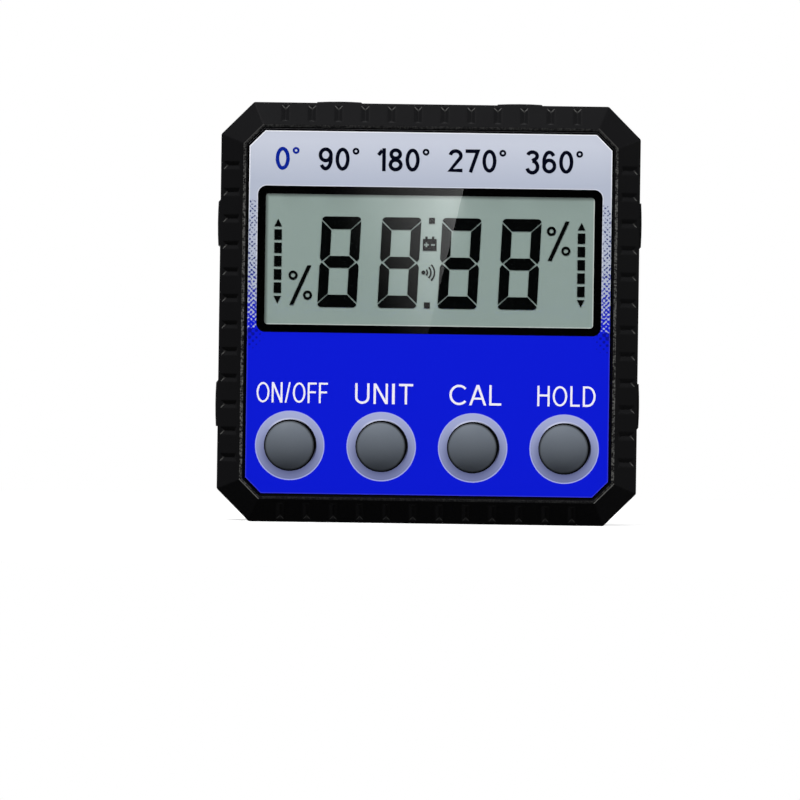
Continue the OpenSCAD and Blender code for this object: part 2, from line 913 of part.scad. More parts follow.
module switch_plunger(i) {
  color("#c9b37a")
    pin([button_xs[i], button_z], plunger_front_d, switch_front_d + plunger_dip, plunger_dia);
}

module switch_plunger_1() {
  switch_plunger(0);
}

module switch_plunger_2() {
  switch_plunger(1);
}

module switch_plunger_3() {
  switch_plunger(2);
}

module switch_plunger_4() {
  switch_plunger(3);
}

// Domed cap with a flange behind the wall and a post that rests on the plunger
module button_cap(i) {
  spot = [button_xs[i] - button_sit_x, button_z - button_sit_z];
  dome_r = (pow(button_dia / 2, 2) + pow(button_dome, 2)) / (2 * button_dome);
  color("#6a7076") {
    intersection() {
      pin(spot, button_front_d, flange_back_d, button_dia);
      translate([spot.x, button_front_d + dome_r - body_d / 2, spot.y])
        sphere(dome_r, $fn = 120);
    }
    pin(spot, flange_front_d, flange_back_d, button_dia + 2 * flange_w);
    pin(spot, flange_front_d, plunger_front_d, plunger_dia);
  }
}

module button_cap_1() {
  button_cap(0);
}

module button_cap_2() {
  button_cap(1);
}

module button_cap_3() {
  button_cap(2);
}

module button_cap_4() {
  button_cap(3);
}

// Cell along X with its nub at the right for turn 0 and at the left for turn 180
module battery(z, turn) {
  color("#b9b2a2")
    translate([0, cell_axis_d - body_d / 2, z])
      rotate([0, turn, 0])
        translate([minus_x, 0, 0])
          rotate([0, 90, 0]) {
            cylinder(h = cell_len - nub_len, d = cell_dia);
            cylinder(h = cell_len, d = nub_dia);
          }
}

module battery_upper() {
  battery(upper_cell_z, 0);
}

module battery_lower() {
  battery(lower_cell_z, 180);
}

// Plate on the left end wall of the bay, from z0 to z1
module contact_plate(z0, z1) {
  plate_d0 = bay_floor_d;
  plate_d1 = cell_axis_d + contact_w / 2;
  intersection() {
    block([contact_t / 2 - cavity_half, (z0 + z1) / 2], [contact_t, z1 - z0], plate_d0, plate_d1);
    slab(0, body_d)
      outline(side_wall);
  }
}

// Pip that meets the nub of a cell, on the left plate
module contact_pip(z) {
  translate([contact_t / 2 - cavity_half, cell_axis_d - body_d / 2, z])
    rotate([0, 90, 0])
      cylinder(h = contact_t / 2 + pip_h, d = pip_dia);
}

// Foot along the bay floor and a tail down to the board
module solder_tail(z) {
  block(
    [tail_x / 2 + contact_t / 4 - cavity_half / 2, z], [tail_x + contact_t / 2 + cavity_half, tail_w],
    bay_floor_d, bay_floor_d + contact_t
  );
  block([tail_x, z], [contact_t, tail_w], board_front_d, bay_floor_d + contact_t);
}

module tail_slot(z, d0, d1) {
  block([tail_x, z], [contact_t + 2 * tail_gap, tail_w + 2 * tail_gap], d0, d1);
}

module positive_contact() {
  color("#c3c6c8") {
    contact_plate(lower_cell_z - contact_w / 2, lower_cell_z + contact_w / 2);
    contact_pip(lower_cell_z);
    solder_tail(positive_tail_z);
  }
}

module negative_contact() {
  color("#c3c6c8") {
    contact_plate(upper_cell_z - contact_w / 2, upper_cell_z + contact_w / 2);
    solder_tail(negative_tail_z);
  }
}

module bridge_contact() {
  rib_clear = tail_gap + cell_rib_h;
  color("#c3c6c8")
    mirror([1, 0, 0])
      difference() {
        union() {
          contact_plate(lower_cell_z - contact_w / 2, upper_cell_z + contact_w / 2);
          contact_pip(upper_cell_z);
        }
        block(
          [-cavity_half, (lower_cell_z + upper_cell_z) / 2], [4 * contact_t, cell_rib + 2 * tail_gap],
          bay_floor_d - past, bay_floor_d + rib_clear
        );
      }
}

// Conical coil along X, wide at its start
module coil_spring() {
  sides = 8;
  steps = round(spring_turns * 14);
  points = [
    for (i = [0 : steps], j = [0 : sides - 1])
      let (
        share = i / steps,
        angle = 360 * spring_turns * share,
        bend = 360 * j / sides,
        coil_r = (spring_base + (spring_tip - spring_base) * share - wire_dia) / 2,
        r = coil_r + wire_dia / 2 * cos(bend),
        x = wire_dia / 2 + (spring_len - wire_dia) * share + wire_dia / 2 * sin(bend)
      )
      [x, r * cos(angle), r * sin(angle)]
  ];
  walls = [
    for (i = [0 : steps - 1], j = [0 : sides - 1])
      let (
        a = i * sides + j,
        b = i * sides + (j + 1) % sides
      )
      each [[a, b, b + sides], [a, b + sides, a + sides]]
  ];
  first = [for (j = [0 : sides - 1]) sides - 1 - j];
  last = [for (j = [0 : sides - 1]) steps * sides + j];
  polyhedron(points, concat(walls, [first, last]));
}

module negative_spring() {
  color("#d2d4d6")
    translate([contact_t - cavity_half, cell_axis_d - body_d / 2, upper_cell_z])
      coil_spring();
}

module bridge_spring() {
  color("#d2d4d6")
    translate([cavity_half - contact_t, cell_axis_d - body_d / 2, lower_cell_z])
      rotate([0, 180, 0])
        coil_spring();
}

// Part of the housing's outline above the lower edge of the door
module door_outline(half) {
  intersection() {
    rounded_outline();
    translate([-half, door_bottom_z])
      square([2 * half, body_size]);
  }
}

module battery_door() {
  color("#1d1d1f")
    difference() {
      union() {
        slab(door_front_d, body_d)
          door_outline(door_half);
        slab(door_front_d, door_step_d)
          door_outline(door_tongue_half);
      }
      rear_bevel_wedges();
      for (i = [0 : thumb_count - 1])
        block(
          [0, thumb_z + (i - (thumb_count - 1) / 2) * thumb_pitch], [thumb_len, thumb_w],
          body_d - thumb_depth, body_d + past
        );
    }
}

module base_magnet(i) {
  color("#b4b7ba")
    translate([magnet_xs[i], magnet_d - body_d / 2, 0])
      cylinder(h = magnet_t, d = magnet_dia);
}

module base_magnet_1() {
  base_magnet(0);
}

module base_magnet_2() {
  base_magnet(1);
}

module base_magnet_3() {
  base_magnet(2);
}

// Screw with its head seated at a depth, driven from the back
module screw(spot, seat_d, len, dia, head_dia) {
  cross_w = head_dia / 6;
  difference() {
    union() {
      pin(spot, seat_d - len, seat_d + head_h / 2, dia);
      pin(spot, seat_d, seat_d + head_h, head_dia);
    }
    for (size = [[cross_w, head_dia * 0.6], [head_dia * 0.6, cross_w]])
      block(spot, size, seat_d + head_h / 2, seat_d + head_h + past);
  }
}

module case_screws() {
  color("#8d9195")
    for (spot = case_screw_spots)
      screw(spot, case_seat_d, case_screw_len, case_screw_dia, case_head_dia);
}

module board_screws() {
  color("#8d9195")
    for (spot = board_screw_spots)
      screw(spot, board_back_d, board_screw_len, board_screw_dia, board_head_dia);
}

front_case();
rear_case();
panel_overlay();
window_lens();
lens_gasket();
lcd_cell();
lcd_segments();
zebra_strip_upper();
zebra_strip_lower();
main_board();
controller_chip();
tilt_sensor();
buzzer();
switch_body_1();
switch_body_2();
switch_body_3();
switch_body_4();
switch_plunger_1();
switch_plunger_2();
switch_plunger_3();
switch_plunger_4();
button_cap_1();
button_cap_2();
button_cap_3();
button_cap_4();
battery_upper();
battery_lower();
positive_contact();
negative_contact();
bridge_contact();
negative_spring();
bridge_spring();
battery_door();
base_magnet_1();
base_magnet_2();
base_magnet_3();
case_screws();
board_screws();
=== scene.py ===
import math

import bpy
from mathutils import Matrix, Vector


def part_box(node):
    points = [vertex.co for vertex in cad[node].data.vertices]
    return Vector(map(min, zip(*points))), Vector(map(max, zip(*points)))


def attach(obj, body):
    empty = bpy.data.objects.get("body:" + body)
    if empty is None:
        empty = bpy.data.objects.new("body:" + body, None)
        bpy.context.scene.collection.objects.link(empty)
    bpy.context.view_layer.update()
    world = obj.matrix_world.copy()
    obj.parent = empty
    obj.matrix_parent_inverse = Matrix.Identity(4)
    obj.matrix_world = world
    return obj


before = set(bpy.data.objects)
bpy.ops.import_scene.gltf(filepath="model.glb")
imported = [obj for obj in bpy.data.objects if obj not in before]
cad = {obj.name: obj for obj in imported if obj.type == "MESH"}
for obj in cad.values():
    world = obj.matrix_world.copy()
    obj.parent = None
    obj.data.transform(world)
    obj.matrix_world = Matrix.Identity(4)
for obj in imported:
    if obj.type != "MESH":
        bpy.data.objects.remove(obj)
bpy.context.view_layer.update()        # the imported nodes take their places
scene = bpy.context.scene
scene.view_settings.view_transform = "Standard"
mm = 0.001
print("frame loaded:", len(cad), "nodes")


def linear(hexColour):
    # sRGB hex to the linear colour that sockets take
    channels = [int(hexColour[i:i + 2], 16) / 255 for i in (1, 3, 5)]
    return [c / 12.92 if c <= 0.04045 else ((c + 0.055) / 1.055) ** 2.4 for c in channels] + [1.0]


def addNode(tree, kind, inputs=(), settings={}):
    # one node of a kind and, after a space, its operation or data type
    # inputs go by name, or in order to the sockets in use; a node or a socket among them is linked
    kind, _, choice = kind.partition(" ")
    node = tree.nodes.new("ShaderNode" + kind)
    if choice:
        setattr(node, "data_type" if kind == "Mix" else "operation", choice)
    for name, value in settings.items():
        setattr(node, name, value)
    if not isinstance(inputs, dict):
        inputs = dict(zip([i for i, socket in enumerate(node.inputs) if socket.enabled], inputs))
    for name, value in inputs.items():
        if isinstance(value, bpy.types.Node):
            value = next(output for output in value.outputs if output.enabled)
        if isinstance(value, bpy.types.NodeSocket):
            tree.links.new(value, node.inputs[name])
        else:
            node.inputs[name].default_value = value
    return node


def newMaterial(name):
    material = bpy.data.materials.new(name)
    material.use_nodes = True
    material.node_tree.nodes.clear()
    return material, material.node_tree


def closeMaterial(tree, shader):
    addNode(tree, "OutputMaterial", [shader])


def dress(names, material):
    # gives solids of the frame their finish
    for name in names:
        slots = cad[name].data.materials
        slots.clear()
        slots.append(material)


# Places read from the solids
caseLow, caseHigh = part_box("front_case")
panelLow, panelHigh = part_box("panel_overlay")
lensLow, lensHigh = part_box("window_lens")
rimY = caseLow.y                                # front of the rim
bodyHalf = caseHigh.x                           # half of the square housing, without its grip pads
panelFaceY = panelLow.y
panelMiddle = (panelLow + panelHigh) / 2
panelHalf = (panelHigh.x - panelLow.x) / 2
lensMiddle = (lensLow + lensHigh) / 2
lensHalf = (lensHigh - lensLow) / 2
buttons = ["button_cap_%d" % i for i in range(1, 5)]
buttonMiddles = [sum(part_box(name), Vector()) / 2 for name in buttons]
buttonPitch = (buttonMiddles[3].x - buttonMiddles[0].x) / 3
buttonZ = buttonMiddles[0].z


# Black ABS, moulded in a spark-eroded tool: a fine even grain keeps the flats dark; the rim is rubbed paler
# in spots and carries painted highlights, as do the groove ends and the edges behind, and the gap round the
# panel has painted shade
housingLook = {
    "colour": "#0e0e0f", "pale": "#121213", "wornAndGlint": "#666664", "edgeWearAndHighlight": "#4a4a4b",
    "gap": "#020202", "gapFrom": 3.22,           # painted shade round the panel and how far in it starts, mm
    "roughness": (0.36, 0.48), "ior": 1.54, "specular": 0.009, "rearSpecular": 0.04,
    "grain": 0.14, "cloud": 6, "rub": 0.2,       # sizes of grain, tone drift and rubbed spots, mm
    "bump": 0.2, "bumpDepth": 0.02,              # the grain's strength and its depth, mm
    "edge": 0.28, "edgeTurn": (0.995, 0.9, 0, 0.7),      # round of the edges, mm, and how it takes wear and the painted edge highlight
    "forward": (-0.97, -0.985),                  # a face that looks this straight forward takes the lip's wear and the painted highlights
    "spots": (0.4, 0.72),                        # part of the rub's noise that shows as spots
    "lipDepth": 0.1, "grooveEnd": 1.2, "bevelDepth": 3,  # how deep lip, grooves and bevel go, mm
    "lipTop": (44 * mm, 50 * mm, 1, 0.2), "lipFoot": (3 * mm, 7 * mm, 0.12, 1),  # the lip's wear and painted highlight thin out at both ends
    "lipCut": (44.66 * mm, 44.76 * mm),          # the lip's diagonals, painted as a highlight line, across plus up
    "cutFade": (10 * mm, 44 * mm, 1, 0.3),       # heights between which they fade
    "outerCut": 48.9,                            # reach of the outline's diagonals, across plus up, mm
    "pitch": 3.35, "apex": 0.84, "lean": 0.9,    # grooves' spacing, depth of the V of painted highlight, mm, and its slope
    "grooveGlint": (0.15 * mm, 0.05 * mm),              # half width of a painted highlight line, at its start and at full tone
    "upperArm": 0.02,                            # share of a spacing past which an arm is the upper one
    "glintOut": (0.8 * mm, 0.6 * mm, 0.25, 1),    # more of it at the side
    "glintFoot": (0, 8 * mm, 0.15, 0.6),          # and less low down
}


def mouldedAbs(name, specular):
    material, tree = newMaterial(name)
    coords = addNode(tree, "TexCoord")
    place = coords.outputs["Object"]
    x, y, z = addNode(tree, "SeparateXYZ", [place]).outputs
    grain, cloud, rub = [
        addNode(tree, "TexNoise", {"Vector": place, "Scale": 1 / (housingLook[key] * mm), "Detail": detail})
        for key, detail in (("grain", 2), ("cloud", 3), ("rub", 2))
    ]

    # faces that look straight forward take the painted highlight: the rim's lip and the ends of the grooves
    facing = addNode(tree, "SeparateXYZ", [coords.outputs["Normal"]]).outputs["Y"]
    forward = addNode(tree, "MapRange", [facing, *housingLook["forward"]])

    # the lip is rubbed in spots and carries a painted highlight, most at the sides
    spots = addNode(tree, "MapRange", [rub, *housingLook["spots"]])
    lipWearAndGlint = spots
    for key in ("lipTop", "lipFoot"):
        share = addNode(tree, "MapRange", [z, *housingLook[key]])
        lipWearAndGlint = addNode(tree, "Math MULTIPLY", [lipWearAndGlint, share])

    # in the grooves a painted highlight keeps to the arms of a V: both arms at top and bottom, the lower one
    # at the sides, where the upper one is in shade
    height = addNode(tree, "Math SUBTRACT", [z, bodyHalf])
    aside = addNode(tree, "Math ABSOLUTE", [x])
    aloft = addNode(tree, "Math ABSOLUTE", [height])
    reach = addNode(tree, "Math MAXIMUM", [aside, aloft])
    depth = addNode(tree, "Math SUBTRACT", [bodyHalf, reach])
    onSide = addNode(tree, "Math GREATER_THAN", [aside, aloft])
    along = addNode(tree, "Mix FLOAT", [onSide, x, height])
    turns = addNode(tree, "Math DIVIDE", [along, housingLook["pitch"] * mm])
    turns = addNode(tree, "Math FRACT", [turns])
    across = addNode(tree, "Math SUBTRACT", [turns, 0.5])
    wide = addNode(tree, "Math ABSOLUTE", [across])
    slope = housingLook["pitch"] * housingLook["lean"] * mm
    wide = addNode(tree, "Math MULTIPLY", [wide, slope])
    arms = addNode(tree, "Math ADD", [wide, depth])
    arms = addNode(tree, "Math SUBTRACT", [arms, housingLook["apex"] * mm])
    arms = addNode(tree, "Math ABSOLUTE", [arms])
    grooveGlint = addNode(tree, "MapRange", [arms, *housingLook["grooveGlint"]])
    upper = addNode(tree, "Math GREATER_THAN", [across, housingLook["upperArm"]])
    upper = addNode(tree, "Math MULTIPLY", [upper, onSide])
    grooveGlint = addNode(tree, "Math SUBTRACT", [grooveGlint, upper], {"use_clamp": True})
    for key, run in (("glintOut", depth), ("glintFoot", z)):
        share = addNode(tree, "MapRange", [run, *housingLook[key]])
        grooveGlint = addNode(tree, "Math MULTIPLY", [grooveGlint, share])

    # the lip's diagonals carry a painted highlight line
    slant = addNode(tree, "Math ADD", [aside, aloft])
    line = addNode(tree, "MapRange", [slant, *housingLook["lipCut"]])
    lineShare = addNode(tree, "MapRange", [z, *housingLook["cutFade"]])
    line = addNode(tree, "Math MULTIPLY", [line, lineShare])
    lipWearAndGlint = addNode(tree, "Math MAXIMUM", [lipWearAndGlint, line])

    # worn spots and painted highlight are on the lip alone, and painted highlight in the grooves alone
    foremost = addNode(tree, "Math LESS_THAN", [y, rimY + housingLook["lipDepth"] * mm])
    outside = addNode(tree, "Math LESS_THAN", [depth, housingLook["grooveEnd"] * mm])
    behind = addNode(tree, "Math GREATER_THAN", [y, rimY + housingLook["bevelDepth"] * mm])
    outside = addNode(tree, "Math SUBTRACT", [outside, behind], {"use_clamp": True})
    grooveGlint = addNode(tree, "Math MULTIPLY", [grooveGlint, outside])
    wearAndGlint = addNode(tree, "Mix FLOAT", [foremost, grooveGlint, lipWearAndGlint])
    wearAndGlint = addNode(tree, "Math MULTIPLY", [wearAndGlint, forward])

    # painted shade down in the gap round the panel
    slantDepth = addNode(tree, "Math SUBTRACT", [housingLook["outerCut"] * mm, slant])
    slantDepth = addNode(tree, "Math MULTIPLY", [slantDepth, math.sqrt(0.5)])
    fullDepth = addNode(tree, "Math MINIMUM", [depth, slantDepth])
    gapShade = addNode(tree, "Math GREATER_THAN", [fullDepth, housingLook["gapFrom"] * mm])
    gapShade = addNode(tree, "Math SUBTRACT", [gapShade, behind], {"use_clamp": True})

    # the edges behind the bevel are worn in spots and painted paler as an edge highlight
    rounded = addNode(tree, "Bevel", {"Radius": housingLook["edge"] * mm}, {"samples": 8})
    straight = addNode(tree, "NewGeometry").outputs["True Normal"]
    turned = addNode(tree, "VectorMath DOT_PRODUCT", [rounded, straight])
    edgeWearAndHighlightMask = addNode(tree, "MapRange", [turned, *housingLook["edgeTurn"]])
    for share in (behind, spots):
        edgeWearAndHighlightMask = addNode(tree, "Math MULTIPLY", [edgeWearAndHighlightMask, share])

    colour = addNode(tree, "Mix RGBA", [cloud, linear(housingLook["colour"]), linear(housingLook["pale"])])
    for tone, mask in (("wornAndGlint", wearAndGlint), ("gap", gapShade), ("edgeWearAndHighlight", edgeWearAndHighlightMask)):
        colour = addNode(tree, "Mix RGBA", [mask, colour, linear(housingLook[tone])])
    gloss = addNode(tree, "MapRange", [grain, 0, 1, *housingLook["roughness"]])
    bump = addNode(tree, "Bump", {
        "Height": grain, "Normal": rounded, "Strength": housingLook["bump"],
        "Distance": housingLook["bumpDepth"] * mm,
    })
    shader = addNode(tree, "BsdfPrincipled", {
        "Base Color": colour, "Roughness": gloss, "Normal": bump, "IOR": housingLook["ior"],
        "Specular IOR Level": specular,
    })
    closeMaterial(tree, shader)
    return material


# PET film, screen printed from behind: flat even inks, halftone dots at the sides, a low sheen, with painted
# shade and highlights round the buttons, along the cut edge and round the window
printLook = {
    "silver": "#c5cad8", "silverShade": "#b1b8c9", "silverRun": (48 * mm, 43 * mm),   # heights of its fall
    "firstDot": "#29356f", "blue": "#0b1ad4", "inkRun": (33 * mm, 24 * mm),           # and of the dots' turn
    # edge: the colour of the painted highlights along the cut edge and round the window
    "navyDot": "#0a1296", "edge": "#f6f8ff",
    "roughness": (0.4, 0.5), "ior": 1.57, "specular": 0.03, "grain": 0.3,
    "dotPitch": 0.42, "patchPitch": 0.62,       # halftone grids of the strips and the patches under them, mm
    "dotDrift": 0.24, "driftSpread": (0.25, 0.75), "driftShare": 0.5,   # uneven inking, mm, its part in a dot
    "dotsTop": 40.6, "dotsFoot": 24.4,          # heights between which the dots grow, mm
    "dotsGrowth": 2.2, "dotsSize": (0.35, 0.68), "dotEdge": (-0.07, 0.07),
    "patchAcross": (20.6 * mm, 22.6 * mm, 0, 0.75), "patchUp": (21.3 * mm, 24.2 * mm), "patchEdge": (0, 0.1),
    "ring": "#a8b0d8", "ringShade": "#6f769f", "ringEdge": "#a8aee6",
    "ringDia": 8.75, "ringLine": 0.13, "soft": 0.03,    # ring round a button, its outline, their softness, mm
    # painted shadow, highlight and shade on it: by the distance from the button's middle, and by height or to
    # the side
    "ringShadow": "#4c5279", "shadowNear": (4 * mm, 3.1 * mm), "shadowRise": (3.2 * mm, -1.6 * mm, 0, 0.8),
    "ringHighlight": "#d4d8ee", "lightNear": (3.55 * mm, 3.35 * mm), "lightRise": (1.9 * mm, 3 * mm, 0, 0.8),
    "holeShade": "#06070c", "holeNear": (3.42 * mm, 3.36 * mm), "holeSide": (1.6 * mm, 3.2 * mm),
    "holeLean": 0.45,                           # how the last one's side leans with the height
    "wall": -0.5,                               # a face turned further from the front is a hole's wall, painted in shade
    "edgeLine": 0.11, "edgeSoft": 0.033, "panelCut": 1.99,      # painted highlight on the cut edge, the leg of a cut corner, mm
    "edgeLit": (36 * mm, 44 * mm, 0.03, 0.9),   # heights between which the painted highlight on the cut edge brightens
    "windowRound": 1.05, "windowLine": 0.15,    # the window's corner radius and the painted highlight line round it, mm
    "windowLight": 0.45, "windowLit": (26 * mm, 34 * mm),       # its strength and the heights of its fade
}


def printedFilm():
    material, tree = newMaterial("PET_film_screen_printed")
    coords = addNode(tree, "TexCoord")
    place = coords.outputs["Object"]
    x, _, z = addNode(tree, "SeparateXYZ", [place]).outputs

    # halftones: two crossed waves make the dots, and uneven inking breaks them up
    rise = addNode(tree, "Math ADD", [x, z])
    fall = addNode(tree, "Math SUBTRACT", [x, z])
    lattices = []
    for pitch in (printLook["dotPitch"], printLook["patchPitch"]):
        wave = 2 * math.pi / (pitch * mm * math.sqrt(2))
        phases = [addNode(tree, "Math MULTIPLY", [run, wave]) for run in (rise, fall)]
        waves = [addNode(tree, "Math SINE", [phase]) for phase in phases]
        crossed = addNode(tree, "Math ADD", [waves[0], waves[1]])
        lattices.append(addNode(tree, "MapRange", [crossed, -2, 2]))
    drift = addNode(tree, "TexNoise", {
        "Vector": place, "Scale": 1 / (printLook["dotDrift"] * mm), "Detail": 1,
    })
    drift = addNode(tree, "MapRange", [drift, *printLook["driftSpread"]])
    dots = addNode(tree, "Mix FLOAT", [printLook["driftShare"], lattices[0], drift])
    dotsTop, dotsFoot = printLook["dotsTop"] * mm, printLook["dotsFoot"] * mm
    growth = addNode(tree, "MapRange", [z, dotsTop, dotsFoot])
    growth = addNode(tree, "Math POWER", [growth, printLook["dotsGrowth"]])
    growth = addNode(tree, "MapRange", [growth, 0, 1, *printLook["dotsSize"]])
    over = addNode(tree, "Math SUBTRACT", [growth, dots])
    blueShare = addNode(tree, "MapRange", [over, *printLook["dotEdge"]])
    below = addNode(tree, "Math LESS_THAN", [z, dotsFoot])
    blueShare = addNode(tree, "Math MAXIMUM", [blueShare, below])
    under = addNode(tree, "Math LESS_THAN", [z, dotsTop])
    blueShare = addNode(tree, "Math MULTIPLY", [blueShare, under])

    # silver field, a little lighter at the top, and on it ink that turns from grey to blue
    fields = []
    for upper, lower, run in (("silver", "silverShade", "silverRun"), ("firstDot", "blue", "inkRun")):
        shade = addNode(tree, "MapRange", [z, *printLook[run]])
        fields.append(addNode(tree, "Mix RGBA", [shade, linear(printLook[upper]), linear(printLook[lower])]))
    field = addNode(tree, "Mix RGBA", [blueShare, fields[0], fields[1]])

    # darker dots where the strips run out into the blue
    side = addNode(tree, "Math ABSOLUTE", [x])
    outward = addNode(tree, "MapRange", [side, *printLook["patchAcross"]])
    upward = addNode(tree, "MapRange", [z, *printLook["patchUp"]])
    patch = addNode(tree, "Math MULTIPLY", [outward, upward])
    patch = addNode(tree, "Math MULTIPLY", [patch, below])
    patch = addNode(tree, "Math SUBTRACT", [patch, lattices[1]])
    patch = addNode(tree, "MapRange", [patch, *printLook["patchEdge"]])
    field = addNode(tree, "Mix RGBA", [patch, field, linear(printLook["navyDot"])])

    # one ring per button pitch, by the distance from the nearest button's middle
    turns = addNode(tree, "Math DIVIDE", [x, buttonPitch])
    turns = addNode(tree, "Math FRACT", [turns])
    across = addNode(tree, "Math SUBTRACT", [turns, 0.5])
    across = addNode(tree, "Math MULTIPLY", [across, buttonPitch])
    along = addNode(tree, "Math SUBTRACT", [z, buttonZ])
    reach = addNode(tree, "CombineXYZ", [across, along])
    reach = addNode(tree, "VectorMath LENGTH", [reach])
    ringEnd = printLook["ringDia"] / 2 * mm
    lineStart = ringEnd - printLook["ringLine"] * mm
    soft = printLook["soft"] * mm
    inRing = addNode(tree, "MapRange", [reach, ringEnd + soft, ringEnd - soft])
    inLine = addNode(tree, "MapRange", [reach, lineStart - soft, lineStart + soft])
    # the ring is painted lighter at the top and in shade towards the bottom
    ringFall = addNode(tree, "MapRange", [along, ringEnd, -ringEnd])
    ring = addNode(tree, "Mix RGBA", [ringFall, linear(printLook["ring"]), linear(printLook["ringShade"])])

    # its painted shading: a painted shadow below the cap, a painted highlight above it, and painted shade on
    # the right of the hole and on its wall
    leaning = addNode(tree, "Math MULTIPLY_ADD", [along, printLook["holeLean"], across])
    shades = []
    for near, rise, run in (
        ("shadowNear", "shadowRise", along), ("lightNear", "lightRise", along), ("holeNear", "holeSide", leaning),
    ):
        close = addNode(tree, "MapRange", [reach, *printLook[near]])
        toward = addNode(tree, "MapRange", [run, *printLook[rise]])
        shades.append(addNode(tree, "Math MULTIPLY", [close, toward]))
    dark, light, shadow = shades
    facing = addNode(tree, "SeparateXYZ", [coords.outputs["Normal"]]).outputs["Y"]
    wall = addNode(tree, "Math GREATER_THAN", [facing, printLook["wall"]])
    shadow = addNode(tree, "Math MAXIMUM", [shadow, wall])
    for tone, mask in (("ringShadow", dark), ("ringHighlight", light), ("ringEdge", inLine), ("holeShade", shadow)):
        ring = addNode(tree, "Mix RGBA", [mask, ring, linear(printLook[tone])])
    field = addNode(tree, "Mix RGBA", [inRing, field, ring])

    # a painted highlight along the sheet's cut edge, most of it round the silver part
    level = addNode(tree, "Math SUBTRACT", [z, panelMiddle.z])
    level = addNode(tree, "Math ABSOLUTE", [level])
    widest = addNode(tree, "Math MAXIMUM", [side, level])
    corner = addNode(tree, "Math ADD", [side, level])
    corner = addNode(tree, "Math MULTIPLY", [corner, math.sqrt(0.5)])
    cornerReach = (2 * panelHalf - printLook["panelCut"] * mm) * math.sqrt(0.5)
    corner = addNode(tree, "Math ADD", [corner, panelHalf - cornerReach])
    widest = addNode(tree, "Math MAXIMUM", [widest, corner])
    edgeStart = panelHalf - printLook["edgeLine"] * mm
    blur = printLook["edgeSoft"] * mm
    edge = addNode(tree, "MapRange", [widest, edgeStart - blur, edgeStart + blur])
    lit = addNode(tree, "MapRange", [z, *printLook["edgeLit"]])
    edge = addNode(tree, "Math MULTIPLY", [edge, lit])

    # and a fainter painted highlight line runs round the window
    windowRound = printLook["windowRound"] * mm
    core = lensHalf - Vector((windowRound, -1, windowRound))    # a metre of depth keeps y out of the distance
    away = addNode(tree, "VectorMath SUBTRACT", [place, lensMiddle])
    away = addNode(tree, "VectorMath ABSOLUTE", [away])
    away = addNode(tree, "VectorMath SUBTRACT", [away, core])
    away = addNode(tree, "VectorMath MAXIMUM", [away, (0, 0, 0)])
    away = addNode(tree, "VectorMath LENGTH", [away])
    lineEnd = windowRound + printLook["windowLine"] * mm
    windowHighlight = addNode(tree, "MapRange", [
        away, lineEnd + soft, lineEnd - soft, 0, printLook["windowLight"],
    ])
    windowLit = addNode(tree, "MapRange", [z, *printLook["windowLit"]])
    windowHighlight = addNode(tree, "Math MULTIPLY", [windowHighlight, windowLit])
    edge = addNode(tree, "Math MAXIMUM", [edge, windowHighlight])
    field = addNode(tree, "Mix RGBA", [edge, field, linear(printLook["edge"])])

    grain = addNode(tree, "TexNoise", {"Vector": place, "Scale": 1 / (printLook["grain"] * mm), "Detail": 2})
    gloss = addNode(tree, "MapRange", [grain, 0, 1, *printLook["roughness"]])
    shader = addNode(tree, "BsdfPrincipled", {
        "Base Color": field, "Roughness": gloss, "IOR": printLook["ior"],
        "Specular IOR Level": printLook["specular"],
    })
    closeMaterial(tree, shader)
    return material


# Clear acrylic, polished: shows the display and a mirrored glint, and lets the lamps through
lensLook = {"colour": "#fbfdfd", "roughness": 0.0, "ior": 1.49}


def polishedAcrylic():
    material, tree = newMaterial("acrylic_polished")
    path = addNode(tree, "LightPath")
    glass = addNode(tree, "BsdfPrincipled", {
        "Base Color": linear(lensLook["colour"]), "Roughness": lensLook["roughness"], "IOR": lensLook["ior"],
        "Transmission Weight": 1.0,
    })
    clear = addNode(tree, "BsdfTransparent")
    through = addNode(tree, "Math MAXIMUM", [path.outputs["Is Shadow Ray"], path.outputs["Is Diffuse Ray"]])
    shader = addNode(tree, "MixShader", [through, glass, clear])
    closeMaterial(tree, shader)
    return material


# Polariser film over a reflector, laminated: grey-green with a fine silvery speckle under a smooth face, a
# painted highlight line and painted shade along its border
displayLook = {
    "colour": "#97a8a2", "pale": "#a1b1ab", "edge": "#dae2dd", "shade": "#5c6662",
    "speckle": 0.12, "roughness": 0.03, "specular": 0.75, "ior": 2.0,
    "border": 0.95,                             # black border over the film, mm
    "edgeLine": (-0.15 * mm, -0.05 * mm),       # start and full tone of the painted highlight line along the border
    "shadeRun": 0.5,                            # painted soft shade beside the top and left of the border, mm
}


